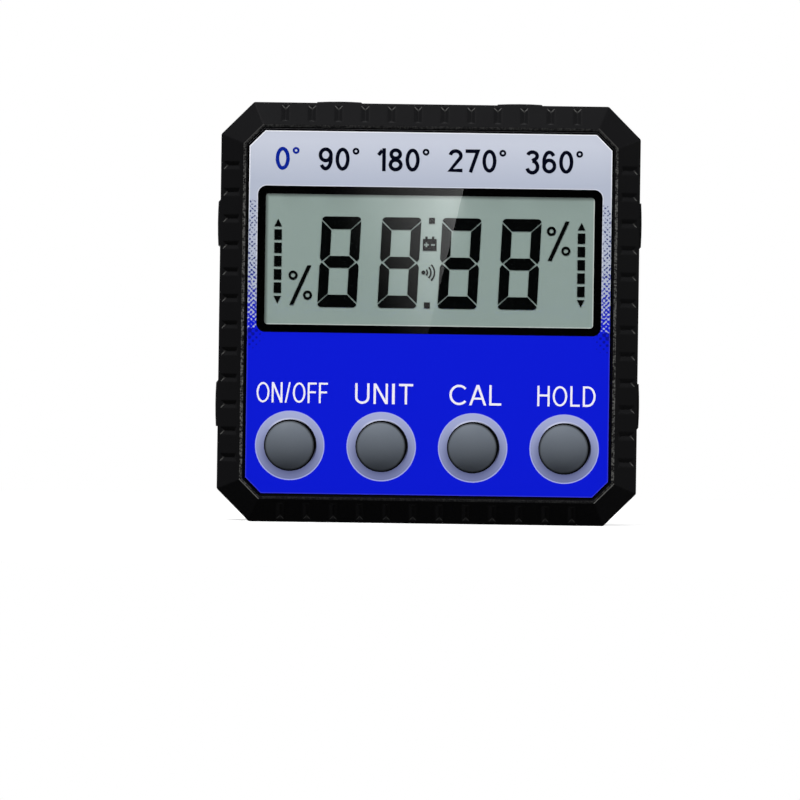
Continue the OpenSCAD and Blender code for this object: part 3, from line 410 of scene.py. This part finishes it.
def displayFilm():
    material, tree = newMaterial("polariser_film_laminated")
    place = addNode(tree, "TexCoord").outputs["Object"]
    speckle = addNode(tree, "TexNoise", {
        "Vector": place, "Scale": 1 / (displayLook["speckle"] * mm), "Detail": 1,
    })
    colour = addNode(tree, "Mix RGBA", [speckle, linear(displayLook["colour"]), linear(displayLook["pale"])])

    # a painted highlight line where the film meets its border
    border = displayLook["border"] * mm
    viewHalf = Vector((lensHalf.x - border, 0, lensHalf.z - border))
    away = addNode(tree, "VectorMath SUBTRACT", [place, lensMiddle])
    away = addNode(tree, "VectorMath ABSOLUTE", [away])
    away = addNode(tree, "VectorMath SUBTRACT", [away, viewHalf])
    split = addNode(tree, "SeparateXYZ", [away])
    nearest = addNode(tree, "Math MAXIMUM", [split.outputs["X"], split.outputs["Z"]])
    edge = addNode(tree, "MapRange", [nearest, *displayLook["edgeLine"]])

    # the border's painted soft shade, along the sides that face the light
    viewLeft, viewTop = lensLow.x + border, lensHigh.z - border
    shadeRun = displayLook["shadeRun"] * mm
    spot = addNode(tree, "SeparateXYZ", [place])
    beside, under = [
        addNode(tree, "MapRange", [spot.outputs[axis], start, end], {"interpolation_type": "SMOOTHSTEP"})
        for axis, start, end in (("X", viewLeft + shadeRun, viewLeft), ("Z", viewTop - shadeRun, viewTop))
    ]
    shade = addNode(tree, "Math MAXIMUM", [beside, under])
    for tone, mask in (("edge", edge), ("shade", shade)):
        colour = addNode(tree, "Mix RGBA", [mask, colour, linear(displayLook[tone])])
    shader = addNode(tree, "BsdfPrincipled", {
        "Base Color": colour, "Roughness": displayLook["roughness"],
        "Specular IOR Level": displayLook["specular"], "IOR": displayLook["ior"],
    })
    closeMaterial(tree, shader)
    return material


# Plain finishes that only need a colour, a grain and a gloss:
# name, colour, paler colour, grain in mm, how it is drawn out along each axis, roughness, specular, metal
even = (1, 1, 1)
plainLooks = {
    # black with a smooth skin, mirrors the glint
    "gasket": ("EPDM_foam_skinned_die_cut", "#010101", "#030303", 0.2, even, 0.1, 0.8, 0),
    # dull, takes all light
    "marks": ("liquid_crystal_dark", "#020303", "#040505", 0.25, even, 0.6, 0.01, 0),
    # satin with a fine grain
    "epoxy": ("epoxy_moulded_black", "#1c1d1f", "#2a2b2d", 0.1, even, 0.6, 0.3, 0),
    "plunger": ("POM_moulded", "#bda363", "#c9b37a", 0.3, even, 0.4, 0.4, 0),
    # bright, with drawing lines along the strip, the turn or the wire
    "contact": ("spring_steel_nickel_plated", "#b9bbbc", "#d0d2d3", 0.1, (1, 1, 0.05), 0.3, 0.5, 1),
    "magnet": ("neodymium_nickel_plated", "#b4b6b8", "#d6d8da", 0.12, (0.06, 1, 1), 0.24, 0.5, 1),
    "screw": ("steel_zinc_plated", "#85898d", "#a4a8ac", 0.12, even, 0.35, 0.5, 1),
}
plainSet = {"drift": 0.06, "bump": 0.1, "depth": 0.1}    # roughness drift, bump and its depth in grains


def plainFinish(look):
    name, dark, pale, grainSize, drawn, roughness, sheen, metal = look
    material, tree = newMaterial(name)
    place = addNode(tree, "TexCoord").outputs["Object"]
    run = addNode(tree, "VectorMath MULTIPLY", [place, drawn])
    grain = addNode(tree, "TexNoise", {"Vector": run, "Scale": 1 / (grainSize * mm), "Detail": 3})
    colour = addNode(tree, "Mix RGBA", [grain, linear(dark), linear(pale)])
    drift = plainSet["drift"]
    gloss = addNode(tree, "MapRange", [grain, 0, 1, roughness - drift, roughness + drift])
    bumpDepth = plainSet["depth"] * grainSize * mm
    bump = addNode(tree, "Bump", {"Height": grain, "Strength": plainSet["bump"], "Distance": bumpDepth})
    shader = addNode(tree, "BsdfPrincipled", {
        "Base Color": colour, "Roughness": gloss, "Normal": bump, "Metallic": metal,
        "Specular IOR Level": sheen,
    })
    closeMaterial(tree, shader)
    return material


# Grey ABS, moulded: a satin dome with a fine grain, with painted shade where it goes down into its hole
capLook = {
    "colour": "#585e66", "pale": "#5f656d", "gap": "#050506", "roughness": (0.44, 0.56), "specular": 0.05,
    "grain": 0.1, "bump": 0.15, "bumpDepth": 0.01,      # grain, the strength of its bump and its depth, mm
    "gapFrom": -0.02, "gapTo": 0.12,            # depths past the panel's face between which it turns to painted shade, mm
}


def mouldedCap():
    material, tree = newMaterial("ABS_moulded_grey")
    place = addNode(tree, "TexCoord").outputs["Object"]
    y = addNode(tree, "SeparateXYZ", [place]).outputs["Y"]
    grain = addNode(tree, "TexNoise", {"Vector": place, "Scale": 1 / (capLook["grain"] * mm), "Detail": 3})
    colour = addNode(tree, "Mix RGBA", [grain, linear(capLook["colour"]), linear(capLook["pale"])])
    # painted shade in the gap round the cap
    start, end = [panelFaceY + capLook[key] * mm for key in ("gapFrom", "gapTo")]
    gapShade = addNode(tree, "MapRange", [y, start, end])
    colour = addNode(tree, "Mix RGBA", [gapShade, colour, linear(capLook["gap"])])
    gloss = addNode(tree, "MapRange", [grain, 0, 1, *capLook["roughness"]])
    bump = addNode(tree, "Bump", {
        "Height": grain, "Strength": capLook["bump"], "Distance": capLook["bumpDepth"] * mm,
    })
    shader = addNode(tree, "BsdfPrincipled", {
        "Base Color": colour, "Roughness": gloss, "Normal": bump, "Specular IOR Level": capLook["specular"],
    })
    closeMaterial(tree, shader)
    return material


# Silicone, layered and sliced: pale rubber with dark conducting layers
zebraLook = {
    "rubber": "#d99c98", "layer": "#2c2426", "roughness": 0.7, "specular": 0.2,
    "pitch": 0.2, "layerEdge": (-0.2, 0.2),     # layers' spacing, mm, and how softly they start
}


def layeredSilicone():
    material, tree = newMaterial("silicone_layered_sliced")
    place = addNode(tree, "TexCoord").outputs["Object"]
    x = addNode(tree, "SeparateXYZ", [place]).outputs["X"]
    wave = 2 * math.pi / (zebraLook["pitch"] * mm)
    layer = addNode(tree, "Math MULTIPLY", [x, wave])
    layer = addNode(tree, "Math SINE", [layer])
    layer = addNode(tree, "MapRange", [layer, *zebraLook["layerEdge"]])
    colour = addNode(tree, "Mix RGBA", [layer, linear(zebraLook["rubber"]), linear(zebraLook["layer"])])
    shader = addNode(tree, "BsdfPrincipled", {
        "Base Color": colour, "Roughness": zebraLook["roughness"],
        "Specular IOR Level": zebraLook["specular"],
    })
    closeMaterial(tree, shader)
    return material


# Glass-filled epoxy under solder mask: glossy green, the copper tracks show paler through it
boardLook = {
    "mask": "#174a2c", "track": "#2f7d4f", "roughness": (0.27, 0.43), "specular": 0.45,
    "trackPitch": 1.4, "uneven": 0.7,           # spacing of the tracks, mm, and how irregular it is
    "trackEdge": (0.14, 0.1),                   # their half width in spacings, from the edge to the full tone
    "weave": 0.5, "bump": 0.3, "bumpDepth": 0.03,       # glass weave and height of the tracks, mm
}


def solderMask():
    material, tree = newMaterial("FR4_solder_mask_coated")
    place = addNode(tree, "TexCoord").outputs["Object"]
    cells = addNode(tree, "TexVoronoi", {
        "Vector": place, "Scale": 1 / (boardLook["trackPitch"] * mm), "Randomness": boardLook["uneven"],
    }, {"feature": "DISTANCE_TO_EDGE", "distance": "MANHATTAN"}).outputs["Distance"]
    track = addNode(tree, "MapRange", [cells, *boardLook["trackEdge"]])
    colour = addNode(tree, "Mix RGBA", [track, linear(boardLook["mask"]), linear(boardLook["track"])])
    weave = addNode(tree, "TexNoise", {"Vector": place, "Scale": 1 / (boardLook["weave"] * mm), "Detail": 2})
    gloss = addNode(tree, "MapRange", [weave, 0, 1, *boardLook["roughness"]])
    bump = addNode(tree, "Bump", {
        "Height": track, "Strength": boardLook["bump"], "Distance": boardLook["bumpDepth"] * mm,
    })
    shader = addNode(tree, "BsdfPrincipled", {
        "Base Color": colour, "Roughness": gloss, "Normal": bump, "Specular IOR Level": boardLook["specular"],
    })
    closeMaterial(tree, shader)
    return material


# PVC sleeve, shrunk on a steel can: glossy plain print, a dark band at the plus end, bare metal at both ends
cellLook = {
    "sleeve": "#b8bcc2", "band": "#24406e", "steel": "#c2c4c6", "roughness": (0.22, 0.38), "specular": 0.5,
    "bandFrom": 0.3, "sleeveEnd": 0.95,         # shares of half the cell's length, from its middle
    "drift": 3,                                 # size of the sleeve's uneven gloss, mm
}


def shrunkSleeve(name, plus):
    material, tree = newMaterial("PVC_sleeve_shrunk_%s" % name)
    low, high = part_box(name)
    middle, halfLength = (low.x + high.x) / 2, (high.x - low.x) / 2
    place = addNode(tree, "TexCoord").outputs["Object"]
    x = addNode(tree, "SeparateXYZ", [place]).outputs["X"]
    run = addNode(tree, "Math SUBTRACT", [x, middle])
    run = addNode(tree, "Math MULTIPLY", [run, plus / halfLength])
    band = addNode(tree, "Math GREATER_THAN", [run, cellLook["bandFrom"]])
    colour = addNode(tree, "Mix RGBA", [band, linear(cellLook["sleeve"]), linear(cellLook["band"])])
    away = addNode(tree, "Math ABSOLUTE", [run])
    bare = addNode(tree, "Math GREATER_THAN", [away, cellLook["sleeveEnd"]])
    colour = addNode(tree, "Mix RGBA", [bare, colour, linear(cellLook["steel"])])
    drift = addNode(tree, "TexNoise", {"Vector": place, "Scale": 1 / (cellLook["drift"] * mm), "Detail": 2})
    gloss = addNode(tree, "MapRange", [drift, 0, 1, *cellLook["roughness"]])
    shader = addNode(tree, "BsdfPrincipled", {
        "Base Color": colour, "Roughness": gloss, "Specular IOR Level": cellLook["specular"],
        "Metallic": bare,
    })
    closeMaterial(tree, shader)
    return material


plain = {key: plainFinish(look) for key, look in plainLooks.items()}
dress(["front_case"], mouldedAbs("black_ABS_moulded", housingLook["specular"]))
dress(["rear_case", "battery_door"], mouldedAbs("black_ABS_moulded_satin", housingLook["rearSpecular"]))
dress(["panel_overlay"], printedFilm())
dress(["window_lens"], polishedAcrylic())
dress(["lcd_cell"], displayFilm())
dress(["lens_gasket"], plain["gasket"])
dress(["lcd_segments"], plain["marks"])
dress(["zebra_strip_upper", "zebra_strip_lower"], layeredSilicone())
dress(["main_board"], solderMask())
dress(["controller_chip", "tilt_sensor", "buzzer"], plain["epoxy"])
dress(["switch_body_%d" % i for i in range(1, 5)], plain["epoxy"])
dress(["switch_plunger_%d" % i for i in range(1, 5)], plain["plunger"])
dress(buttons, mouldedCap())
for name, plus in (("battery_upper", 1), ("battery_lower", -1)):
    dress([name], shrunkSleeve(name, plus))
dress(["positive_contact", "negative_contact", "bridge_contact"], plain["contact"])
dress(["negative_spring", "bridge_spring"], plain["contact"])
dress(["base_magnet_%d" % i for i in range(1, 4)], plain["magnet"])
dress(["case_screws", "board_screws"], plain["screw"])
print("solids dressed")

# The rim throws no shadow on the panel and the frame none on the display: both are lit evenly to their edges
for name in ("front_case", "panel_overlay", "lens_gasket"):
    cad[name].visible_shadow = False


# Printed words: outlines in mm from the letter's lower left corner, w wide, h high, with strokes s thick
letterSet = {
    "bar": 0.53, "foreBar": 0.9,                # bars of F and H: height, and width of the short one of F
    "bowD": 0.62, "bowU": 0.45, "mouth": 42,    # round parts of D and U, half of the open angle of C
    "diagonal": 1.15, "slash": 0.9,             # flat ends of the slants of N and of the slash, in strokes
    "apex": 0.55, "legBar": 0.28, "legBarStroke": 0.9,      # half the flat top of A, in strokes, and its bar
}


def arc(cx, cz, rx, rz, start, end, steps=20):
    angles = [math.radians(start + (end - start) * i / steps) for i in range(steps + 1)]
    return [(cx + rx * math.cos(a), cz + rz * math.sin(a)) for a in angles]


def letterLoops(letter, w, h, s):
    barTop, barFoot = letterSet["bar"] * h + s / 2, letterSet["bar"] * h - s / 2
    if letter == "O":
        return [arc(w / 2, h / 2, w / 2 - inset, h / 2 - inset, 0, 342, 19) for inset in (0, s)]
    if letter == "D":
        bow = letterSet["bowD"] * w
        outer = [(0, 0), (0, h)] + arc(w - bow, h / 2, bow, h / 2, 90, -90)
        inner = [(s, s), (s, h - s)] + arc(w - bow, h / 2, bow - s, h / 2 - s, 90, -90)
        return [outer, inner]
    if letter == "C":
        mouth = letterSet["mouth"]
        rx = w / (1 + math.cos(math.radians(mouth)))
        outer = arc(rx, h / 2, rx, h / 2, mouth, 360 - mouth)
        return [outer + arc(rx, h / 2, rx - s, h / 2 - s, 360 - mouth, mouth)]
    if letter == "U":
        bow = letterSet["bowU"] * w
        outer = [(0, h)] + arc(w / 2, bow, w / 2, bow, 180, 360) + [(w, h), (w - s, h)]
        return [outer + arc(w / 2, bow, w / 2 - s, bow - s, 360, 180) + [(s, h)]]
    if letter == "N":
        flat = letterSet["diagonal"] * s
        foot = s * h / (w - flat)
        return [[
            (0, 0), (0, h), (flat, h), (w - s, foot), (w - s, h), (w, h),
            (w, 0), (w - flat, 0), (s, h - foot), (s, 0),
        ]]
    if letter == "A":
        top = letterSet["apex"] * s
        lean = (w / 2 - top) / h
        low = letterSet["legBar"] * h
        high = low + letterSet["legBarStroke"] * s
        leg = 2 * top
        peak = (w / 2 - leg) / lean
        outer = [
            (0, 0), (w / 2 - top, h), (w / 2 + top, h), (w, 0), (w - leg, 0),
            (w - leg - low * lean, low), (leg + low * lean, low), (leg, 0),
        ]
        return [outer, [(leg + high * lean, high), (w - leg - high * lean, high), (w / 2, peak)]]
    if letter == "F":
        fore = letterSet["foreBar"] * w
        return [[
            (0, 0), (0, h), (w, h), (w, h - s), (s, h - s), (s, barTop),
            (fore, barTop), (fore, barFoot), (s, barFoot), (s, 0),
        ]]
    if letter == "H":
        return [[
            (0, 0), (0, h), (s, h), (s, barTop), (w - s, barTop), (w - s, h),
            (w, h), (w, 0), (w - s, 0), (w - s, barFoot), (s, barFoot), (s, 0),
        ]]
    if letter == "L":
        return [[(0, 0), (0, h), (s, h), (s, s), (w, s), (w, 0)]]
    if letter == "T":
        left, right = (w - s) / 2, (w + s) / 2
        head = [(0, h), (w, h), (w, h - s), (right, h - s)]
        return [head + [(right, 0), (left, 0), (left, h - s), (0, h - s)]]
    if letter == "/":
        flat = letterSet["slash"] * s
        return [[(0, 0), (flat, 0), (w, h), (w - flat, h)]]
    return [[(0, 0), (0, h), (w, h), (w, 0)]]      # the upright of I


# Ink, screen printed: opaque, matt, barely raised
inkLook = {
    "white": "#f6f3fc", "blue": "#0a2490", "navy": "#020412", "roughness": 0.5, "specular": 0.02,
    "grain": 0.2, "thick": 0.02,                # uneven inking and the print's thickness, mm
    "thin": 0.94,                               # tone where the ink is thinnest
}


def printedInk(name, colour):
    material, tree = newMaterial(name)
    place = addNode(tree, "TexCoord").outputs["Object"]
    grain = addNode(tree, "TexNoise", {"Vector": place, "Scale": 1 / (inkLook["grain"] * mm), "Detail": 2})
    dark = [inkLook["thin"] * c for c in linear(colour)[:3]] + [1.0]
    ink = addNode(tree, "Mix RGBA", [grain, dark, linear(colour)])
    shader = addNode(tree, "BsdfPrincipled", {
        "Base Color": ink, "Roughness": inkLook["roughness"], "Specular IOR Level": inkLook["specular"],
    })
    closeMaterial(tree, shader)
    return material


def printOnPanel(thing, left, foot, material):
    # stands flat print on the panel's face, with its lower left corner at a place in mm
    thing.data.materials.append(material)
    thing.rotation_euler = (math.pi / 2, 0, 0)
    thing.location = (left * mm, panelFaceY, foot * mm)
    scene.collection.objects.link(thing)
    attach(thing, "case")


whiteInk = printedInk("white_ink_screen_printed", inkLook["white"])
labelSet = {"foot": 15.05, "height": 2.58}        # base line and letter height, mm
labels = [
    {
        "name": "label_on_off", "word": "ON/OFF", "stroke": 0.24, "left": -21.6, "gap": 0.284,
        "widths": (1.63, 1.36, 0.74, 1.59, 1.13, 1.13),
    },
    {
        "name": "label_unit", "word": "UNIT", "stroke": 0.29, "left": -9.15, "gap": 0.527,
        "widths": (1.8, 1.8, 0.34, 1.78),
    },
    {
        "name": "label_cal", "word": "CAL", "stroke": 0.29, "left": 2.75, "gap": 0.36,
        "widths": (2.13, 2.18, 1.52),
    },
    {
        "name": "label_hold", "word": "HOLD", "stroke": 0.26, "left": 13.85, "gap": 0.387,
        "widths": (1.55, 1.84, 1.2, 1.6),
    },
]
for label in labels:
    curve = bpy.data.curves.new(label["name"], "CURVE")
    curve.dimensions = "2D"
    curve.fill_mode = "BOTH"
    curve.extrude = inkLook["thick"] / 2 * mm
    start = 0
    for letter, width in zip(label["word"], label["widths"]):
        for loop in letterLoops(letter, width, labelSet["height"], label["stroke"]):
            spline = curve.splines.new("POLY")
            spline.points.add(len(loop) - 1)
            for point, (px, pz) in zip(spline.points, loop):
                point.co = ((start + px) * mm, pz * mm, 0, 1)
            spline.use_cyclic_u = True
        start += width + label["gap"]
    printOnPanel(bpy.data.objects.new(label["name"], curve), label["left"], labelSet["foot"], whiteInk)
print("button labels printed")

# Plain degree numbers along the header, a full turn in quarters, drawn as strokes along their middle lines
headerSet = {
    "numbers": ("0°", "90°", "180°", "270°", "360°"),
    "foot": 44.45, "left": -19.6, "right": 19.2,            # base line and ends of the row, mm
    "height": 2.9, "width": 1.78, "one": 0.92, "stroke": 0.45, "gap": 0.36,      # figures, mm
    "ring": 0.86, "ringStroke": 0.27,                       # degree ring, mm
}


def figureLines(figure, w, h, s):
    # middle lines in shares of the figure's width and height
    r = s / 2
    rx, rz = w / 2 - r, h / 2 - r
    bowl = 0.325 * h                        # half height of the bowl of 6 and 9
    if figure == "0":
        return [arc(w / 2, h / 2, rx, rz, 0, 360, 32)]
    if figure == "1":
        return [[(w - r, 0), (w - r, h)], [(0, 0.7 * h), (w - s, h - 0.6 * s)]]
    if figure == "2":
        return [arc(w / 2, 0.715 * h, rx, 0.285 * h - r, 172, -28, 16) + [(r, r), (w, r)]]
    if figure == "3":
        upper = arc(w / 2, 0.75 * h, 0.9 * rx, 0.25 * h - r, 165, -90, 16)
        return [upper[:-1] + [(w / 2, 0.53 * h)], arc(w / 2, 0.275 * h, rx, 0.255 * h, 90, -165, 18)]
    if figure == "6":
        return [arc(w / 2, bowl, rx, bowl - r, 0, 360, 28), arc(w / 2, h / 2, rx, rz, 38, 195, 16)]
    if figure == "7":
        return [[(0, h - r), (w - r, h - r), (0.36 * w, 0)]]
    if figure == "8":
        upper = arc(w / 2, 0.745 * h, 0.86 * rx, 0.255 * h - r, 0, 360, 28)
        return [upper, arc(w / 2, 0.285 * h, rx, 0.285 * h - r, 0, 360, 28)]
    if figure == "9":
        return [[(w - px, h - pz) for px, pz in line] for line in figureLines("6", w, h, s)]
    return [arc(w / 2, h - w / 2, rx, rx, 0, 360, 24)]      # the degree ring


def strokeFaces(line, s, lift, points, faces):
    # a flat ribbon, s wide, along a line
    closed = math.dist(line[0], line[-1]) < 1e-6
    for i, (px, pz) in enumerate(line):
        back = line[i - 1] if i > 0 else (line[-2] if closed else line[0])
        ahead = line[i + 1] if i < len(line) - 1 else (line[1] if closed else line[-1])
        ways = []
        for (ax, az), (bx, bz) in ((back, (px, pz)), ((px, pz), ahead)):
            run = math.dist((ax, az), (bx, bz))
            if run > 0:
                ways.append((-(bz - az) / run, (bx - ax) / run))
        nx, nz = [sum(parts) / len(ways) for parts in zip(*ways)]
        reach = s / 2 / max(nx * nx + nz * nz, 0.25)        # a mitre, no longer than the stroke is wide
        points += [(px + nx * reach, pz + nz * reach, lift), (px - nx * reach, pz - nz * reach, lift)]
        if i > 0:
            last = len(points)
            faces.append((last - 4, last - 3, last - 1, last - 2))


blueInk = printedInk("blue_ink_screen_printed", inkLook["blue"])
navyInk = printedInk("navy_ink_screen_printed", inkLook["navy"])
figureWidths = {"1": headerSet["one"], "°": headerSet["ring"]}
figureStrokes = {"°": headerSet["ringStroke"]}
wordWidths = [
    sum(figureWidths.get(figure, headerSet["width"]) + headerSet["gap"] for figure in word) - headerSet["gap"]
    for word in headerSet["numbers"]
]
wordGap = (headerSet["right"] - headerSet["left"] - sum(wordWidths)) / (len(wordWidths) - 1)
wordLeft = headerSet["left"]
for i, word in enumerate(headerSet["numbers"]):
    points, faces = [], []
    start = 0
    for figure in word:
        width = figureWidths.get(figure, headerSet["width"])
        stroke = figureStrokes.get(figure, headerSet["stroke"])
        for layer, line in enumerate(figureLines(figure, width, headerSet["height"], stroke)):
            placed = [(start + px, pz) for px, pz in line]
            lift = inkLook["thick"] / 2 * (1 + layer / 4)       # strokes that cross lie at two levels
            strokeFaces(placed, stroke, lift, points, faces)
        start += width + headerSet["gap"]
    mesh = bpy.data.meshes.new("header_number_%d" % (i + 1))
    mesh.from_pydata([(px * mm, pz * mm, lift * mm) for px, pz, lift in points], [], faces)
    ink = navyInk if i else blueInk
    printOnPanel(bpy.data.objects.new(mesh.name, mesh), wordLeft, headerSet["foot"], ink)
    wordLeft += wordWidths[i] + wordGap
print("header numbers printed")


# Floor and surroundings
def whiteToEye(tree):
    # 1 for the rays that show a background: camera, glossy and transmission
    path = addNode(tree, "LightPath")
    seen = path.outputs["Is Camera Ray"]
    for ray in ("Is Glossy Ray", "Is Transmission Ray"):
        seen = addNode(tree, "Math MAXIMUM", [seen, path.outputs[ray]])
    return seen


white = (1, 1, 1, 1)
worldSet = {"ambient": 0.07, "seen": 1.0}
world = bpy.data.worlds.new("studio")
scene.world = world
world.use_nodes = True
sky = world.node_tree
sky.nodes.clear()
dim = addNode(sky, "Background", [white, worldSet["ambient"]])
bright = addNode(sky, "Background", [white, worldSet["seen"]])
around = addNode(sky, "MixShader", [whiteToEye(sky), dim, bright])
addNode(sky, "OutputWorld", [around])

floorSet = {
    "half": 4.0, "drop": 0.02,                   # half size, m, and how far it lies under the base, mm
    "colour": "#f2f2f2", "bounce": "#242424",    # the paper as it is seen and as it lights the object
    "near": 0.05, "far": 0.3, "lift": 0.68,      # it turns from lit paper to white between these distances, m
}


def paleFloor():
    material, tree = newMaterial("paper_white_matt")
    seen = whiteToEye(tree)
    tone = addNode(tree, "Mix RGBA", [seen, linear(floorSet["bounce"]), linear(floorSet["colour"])])
    paper = addNode(tree, "BsdfDiffuse", [tone])
    glow = addNode(tree, "Emission", {"Color": white, "Strength": 1.0})
    place = addNode(tree, "TexCoord").outputs["Object"]
    away = addNode(tree, "VectorMath LENGTH", [place])
    share = addNode(tree, "MapRange", [away, floorSet["near"], floorSet["far"], floorSet["lift"]])
    lift = addNode(tree, "Math MULTIPLY", [seen, share])
    closeMaterial(tree, addNode(tree, "MixShader", [lift, paper, glow]))
    return material


def stageCard(name, corners, material):
    mesh = bpy.data.meshes.new(name)
    mesh.from_pydata(corners, [], [list(range(len(corners)))])
    mesh.materials.append(material)
    card = bpy.data.objects.new(name, mesh)
    scene.collection.objects.link(card)
    return card


square = ((-1, -1), (1, -1), (1, 1), (-1, 1))
floorHalf = floorSet["half"]
floorZ = -floorSet["drop"] * mm
stageCard("floor", [(sx * floorHalf, sy * floorHalf, floorZ) for sx, sy in square], paleFloor())

# Camera, face on and a touch below the middle, rolled with the product
cameraSet = {
    "axisX": -3.48, "axisZ": 15.59,              # its axis, mm
    "planeY": -11.5, "distance": 1100,           # and its distance from a plane near the panel, mm
    "focal": 391.7, "sensor": 36, "roll": 0.8,   # mm, mm and degrees
    "clipStart": 0.01, "clipEnd": 20,            # m
}
cameraData = bpy.data.cameras.new("camera")
cameraData.lens = cameraSet["focal"]
cameraData.sensor_width = cameraSet["sensor"]
cameraData.clip_start = cameraSet["clipStart"]
cameraData.clip_end = cameraSet["clipEnd"]
camera = bpy.data.objects.new("camera", cameraData)
cameraY = (cameraSet["planeY"] - cameraSet["distance"]) * mm
camera.location = (cameraSet["axisX"] * mm, cameraY, cameraSet["axisZ"] * mm)
camera.rotation_euler = (math.pi / 2, math.radians(-cameraSet["roll"]), 0)
scene.collection.objects.link(camera)
scene.camera = camera

# Black flag behind the camera, and on it the bright pane that the lens mirrors as a slanted glint
glintSet = {
    "behind": 60, "flag": 450, "proud": 1,             # flag behind the camera, its half size, pane on it, mm
    "topX": 4.6, "topZ": 44, "footX": -0.3, "footZ": 23, "wide": 26,     # pane as it shows on the lens, mm
    "darkX": -13.3, "darkZ": 40.4, "run": 17, "rise": 0.44,    # its light's start, growth and lean
    "strength": 1.4, "growth": 1.8,
}
flagY = cameraY - glintSet["behind"] * mm
mirrorGrowth = 1 + (panelFaceY - flagY) / (panelFaceY - cameraY)   # size on the flag of a size on the lens


def onFlag(px, pz, lift):
    ax, az = cameraSet["axisX"], cameraSet["axisZ"]
    return ((ax + (px - ax) * mirrorGrowth) * mm, flagY + lift * mm, (az + (pz - az) * mirrorGrowth) * mm)


def blackVelvet():
    material, tree = newMaterial("velvet_black")
    closeMaterial(tree, addNode(tree, "BsdfDiffuse", [(0, 0, 0, 1)]))
    return material


def fadingPane():
    # light that grows along one direction on the pane
    material, tree = newMaterial("window_light")
    place = addNode(tree, "TexCoord").outputs["Object"]
    darkX, _, darkZ = onFlag(glintSet["darkX"], glintSet["darkZ"], 0)
    away = addNode(tree, "VectorMath SUBTRACT", [place, (darkX, 0, darkZ)])
    fullRun = glintSet["run"] * mirrorGrowth * mm
    way = (1 / fullRun, 0, glintSet["rise"] / fullRun)
    ahead = addNode(tree, "VectorMath DOT_PRODUCT", [away, way])
    grown = addNode(tree, "Math MAXIMUM", [ahead, 0.0])
    grown = addNode(tree, "Math POWER", [grown, glintSet["growth"]])
    strength = addNode(tree, "Math MULTIPLY", [grown, glintSet["strength"]])
    closeMaterial(tree, addNode(tree, "Emission", {"Strength": strength}))
    return material


flagHalf = glintSet["flag"] * mm
flagX, _, flagZ = camera.location
flagCorners = [(flagX + sx * flagHalf, flagY, flagZ + sz * flagHalf) for sx, sz in square]
flag = stageCard("flag", flagCorners, blackVelvet())
paneEnds = ((glintSet["footX"], glintSet["footZ"]), (glintSet["topX"], glintSet["topZ"]))
paneRight = [onFlag(px, pz, glintSet["proud"]) for px, pz in paneEnds]
paneLeft = [onFlag(px - glintSet["wide"], pz, glintSet["proud"]) for px, pz in paneEnds]
pane = stageCard("glint_pane", [paneLeft[0], paneRight[0], paneRight[1], paneLeft[1]], fadingPane())
for card in (flag, pane):
    card.visible_camera = False
    card.visible_diffuse = False
    card.visible_shadow = False
print("stage and camera set")

# Soft studio lamps: place and size in metres, power in watts
lamps = [
    {"name": "key_box", "place": (-0.31, -0.48, 0.97), "size": 0.5, "power": 22.5},
    {"name": "fill_box", "place": (0.82, -0.34, 0.28), "size": 0.4, "power": 4.3},
    {"name": "rear_box", "place": (0.2, 1.0, 0.75), "size": 1.2, "power": 30},
]
target = Vector((0, 0, bodyHalf))
for lamp in lamps:
    light = bpy.data.lights.new(lamp["name"], "AREA")
    light.shape = "DISK"
    light.size = lamp["size"]
    light.energy = lamp["power"]
    thing = bpy.data.objects.new(lamp["name"], light)
    thing.location = lamp["place"]
    thing.rotation_euler = (target - thing.location).to_track_quat("-Z", "Y").to_euler()
    thing.visible_camera = False
    thing.visible_transmission = False
    scene.collection.objects.link(thing)
print("lamps set")
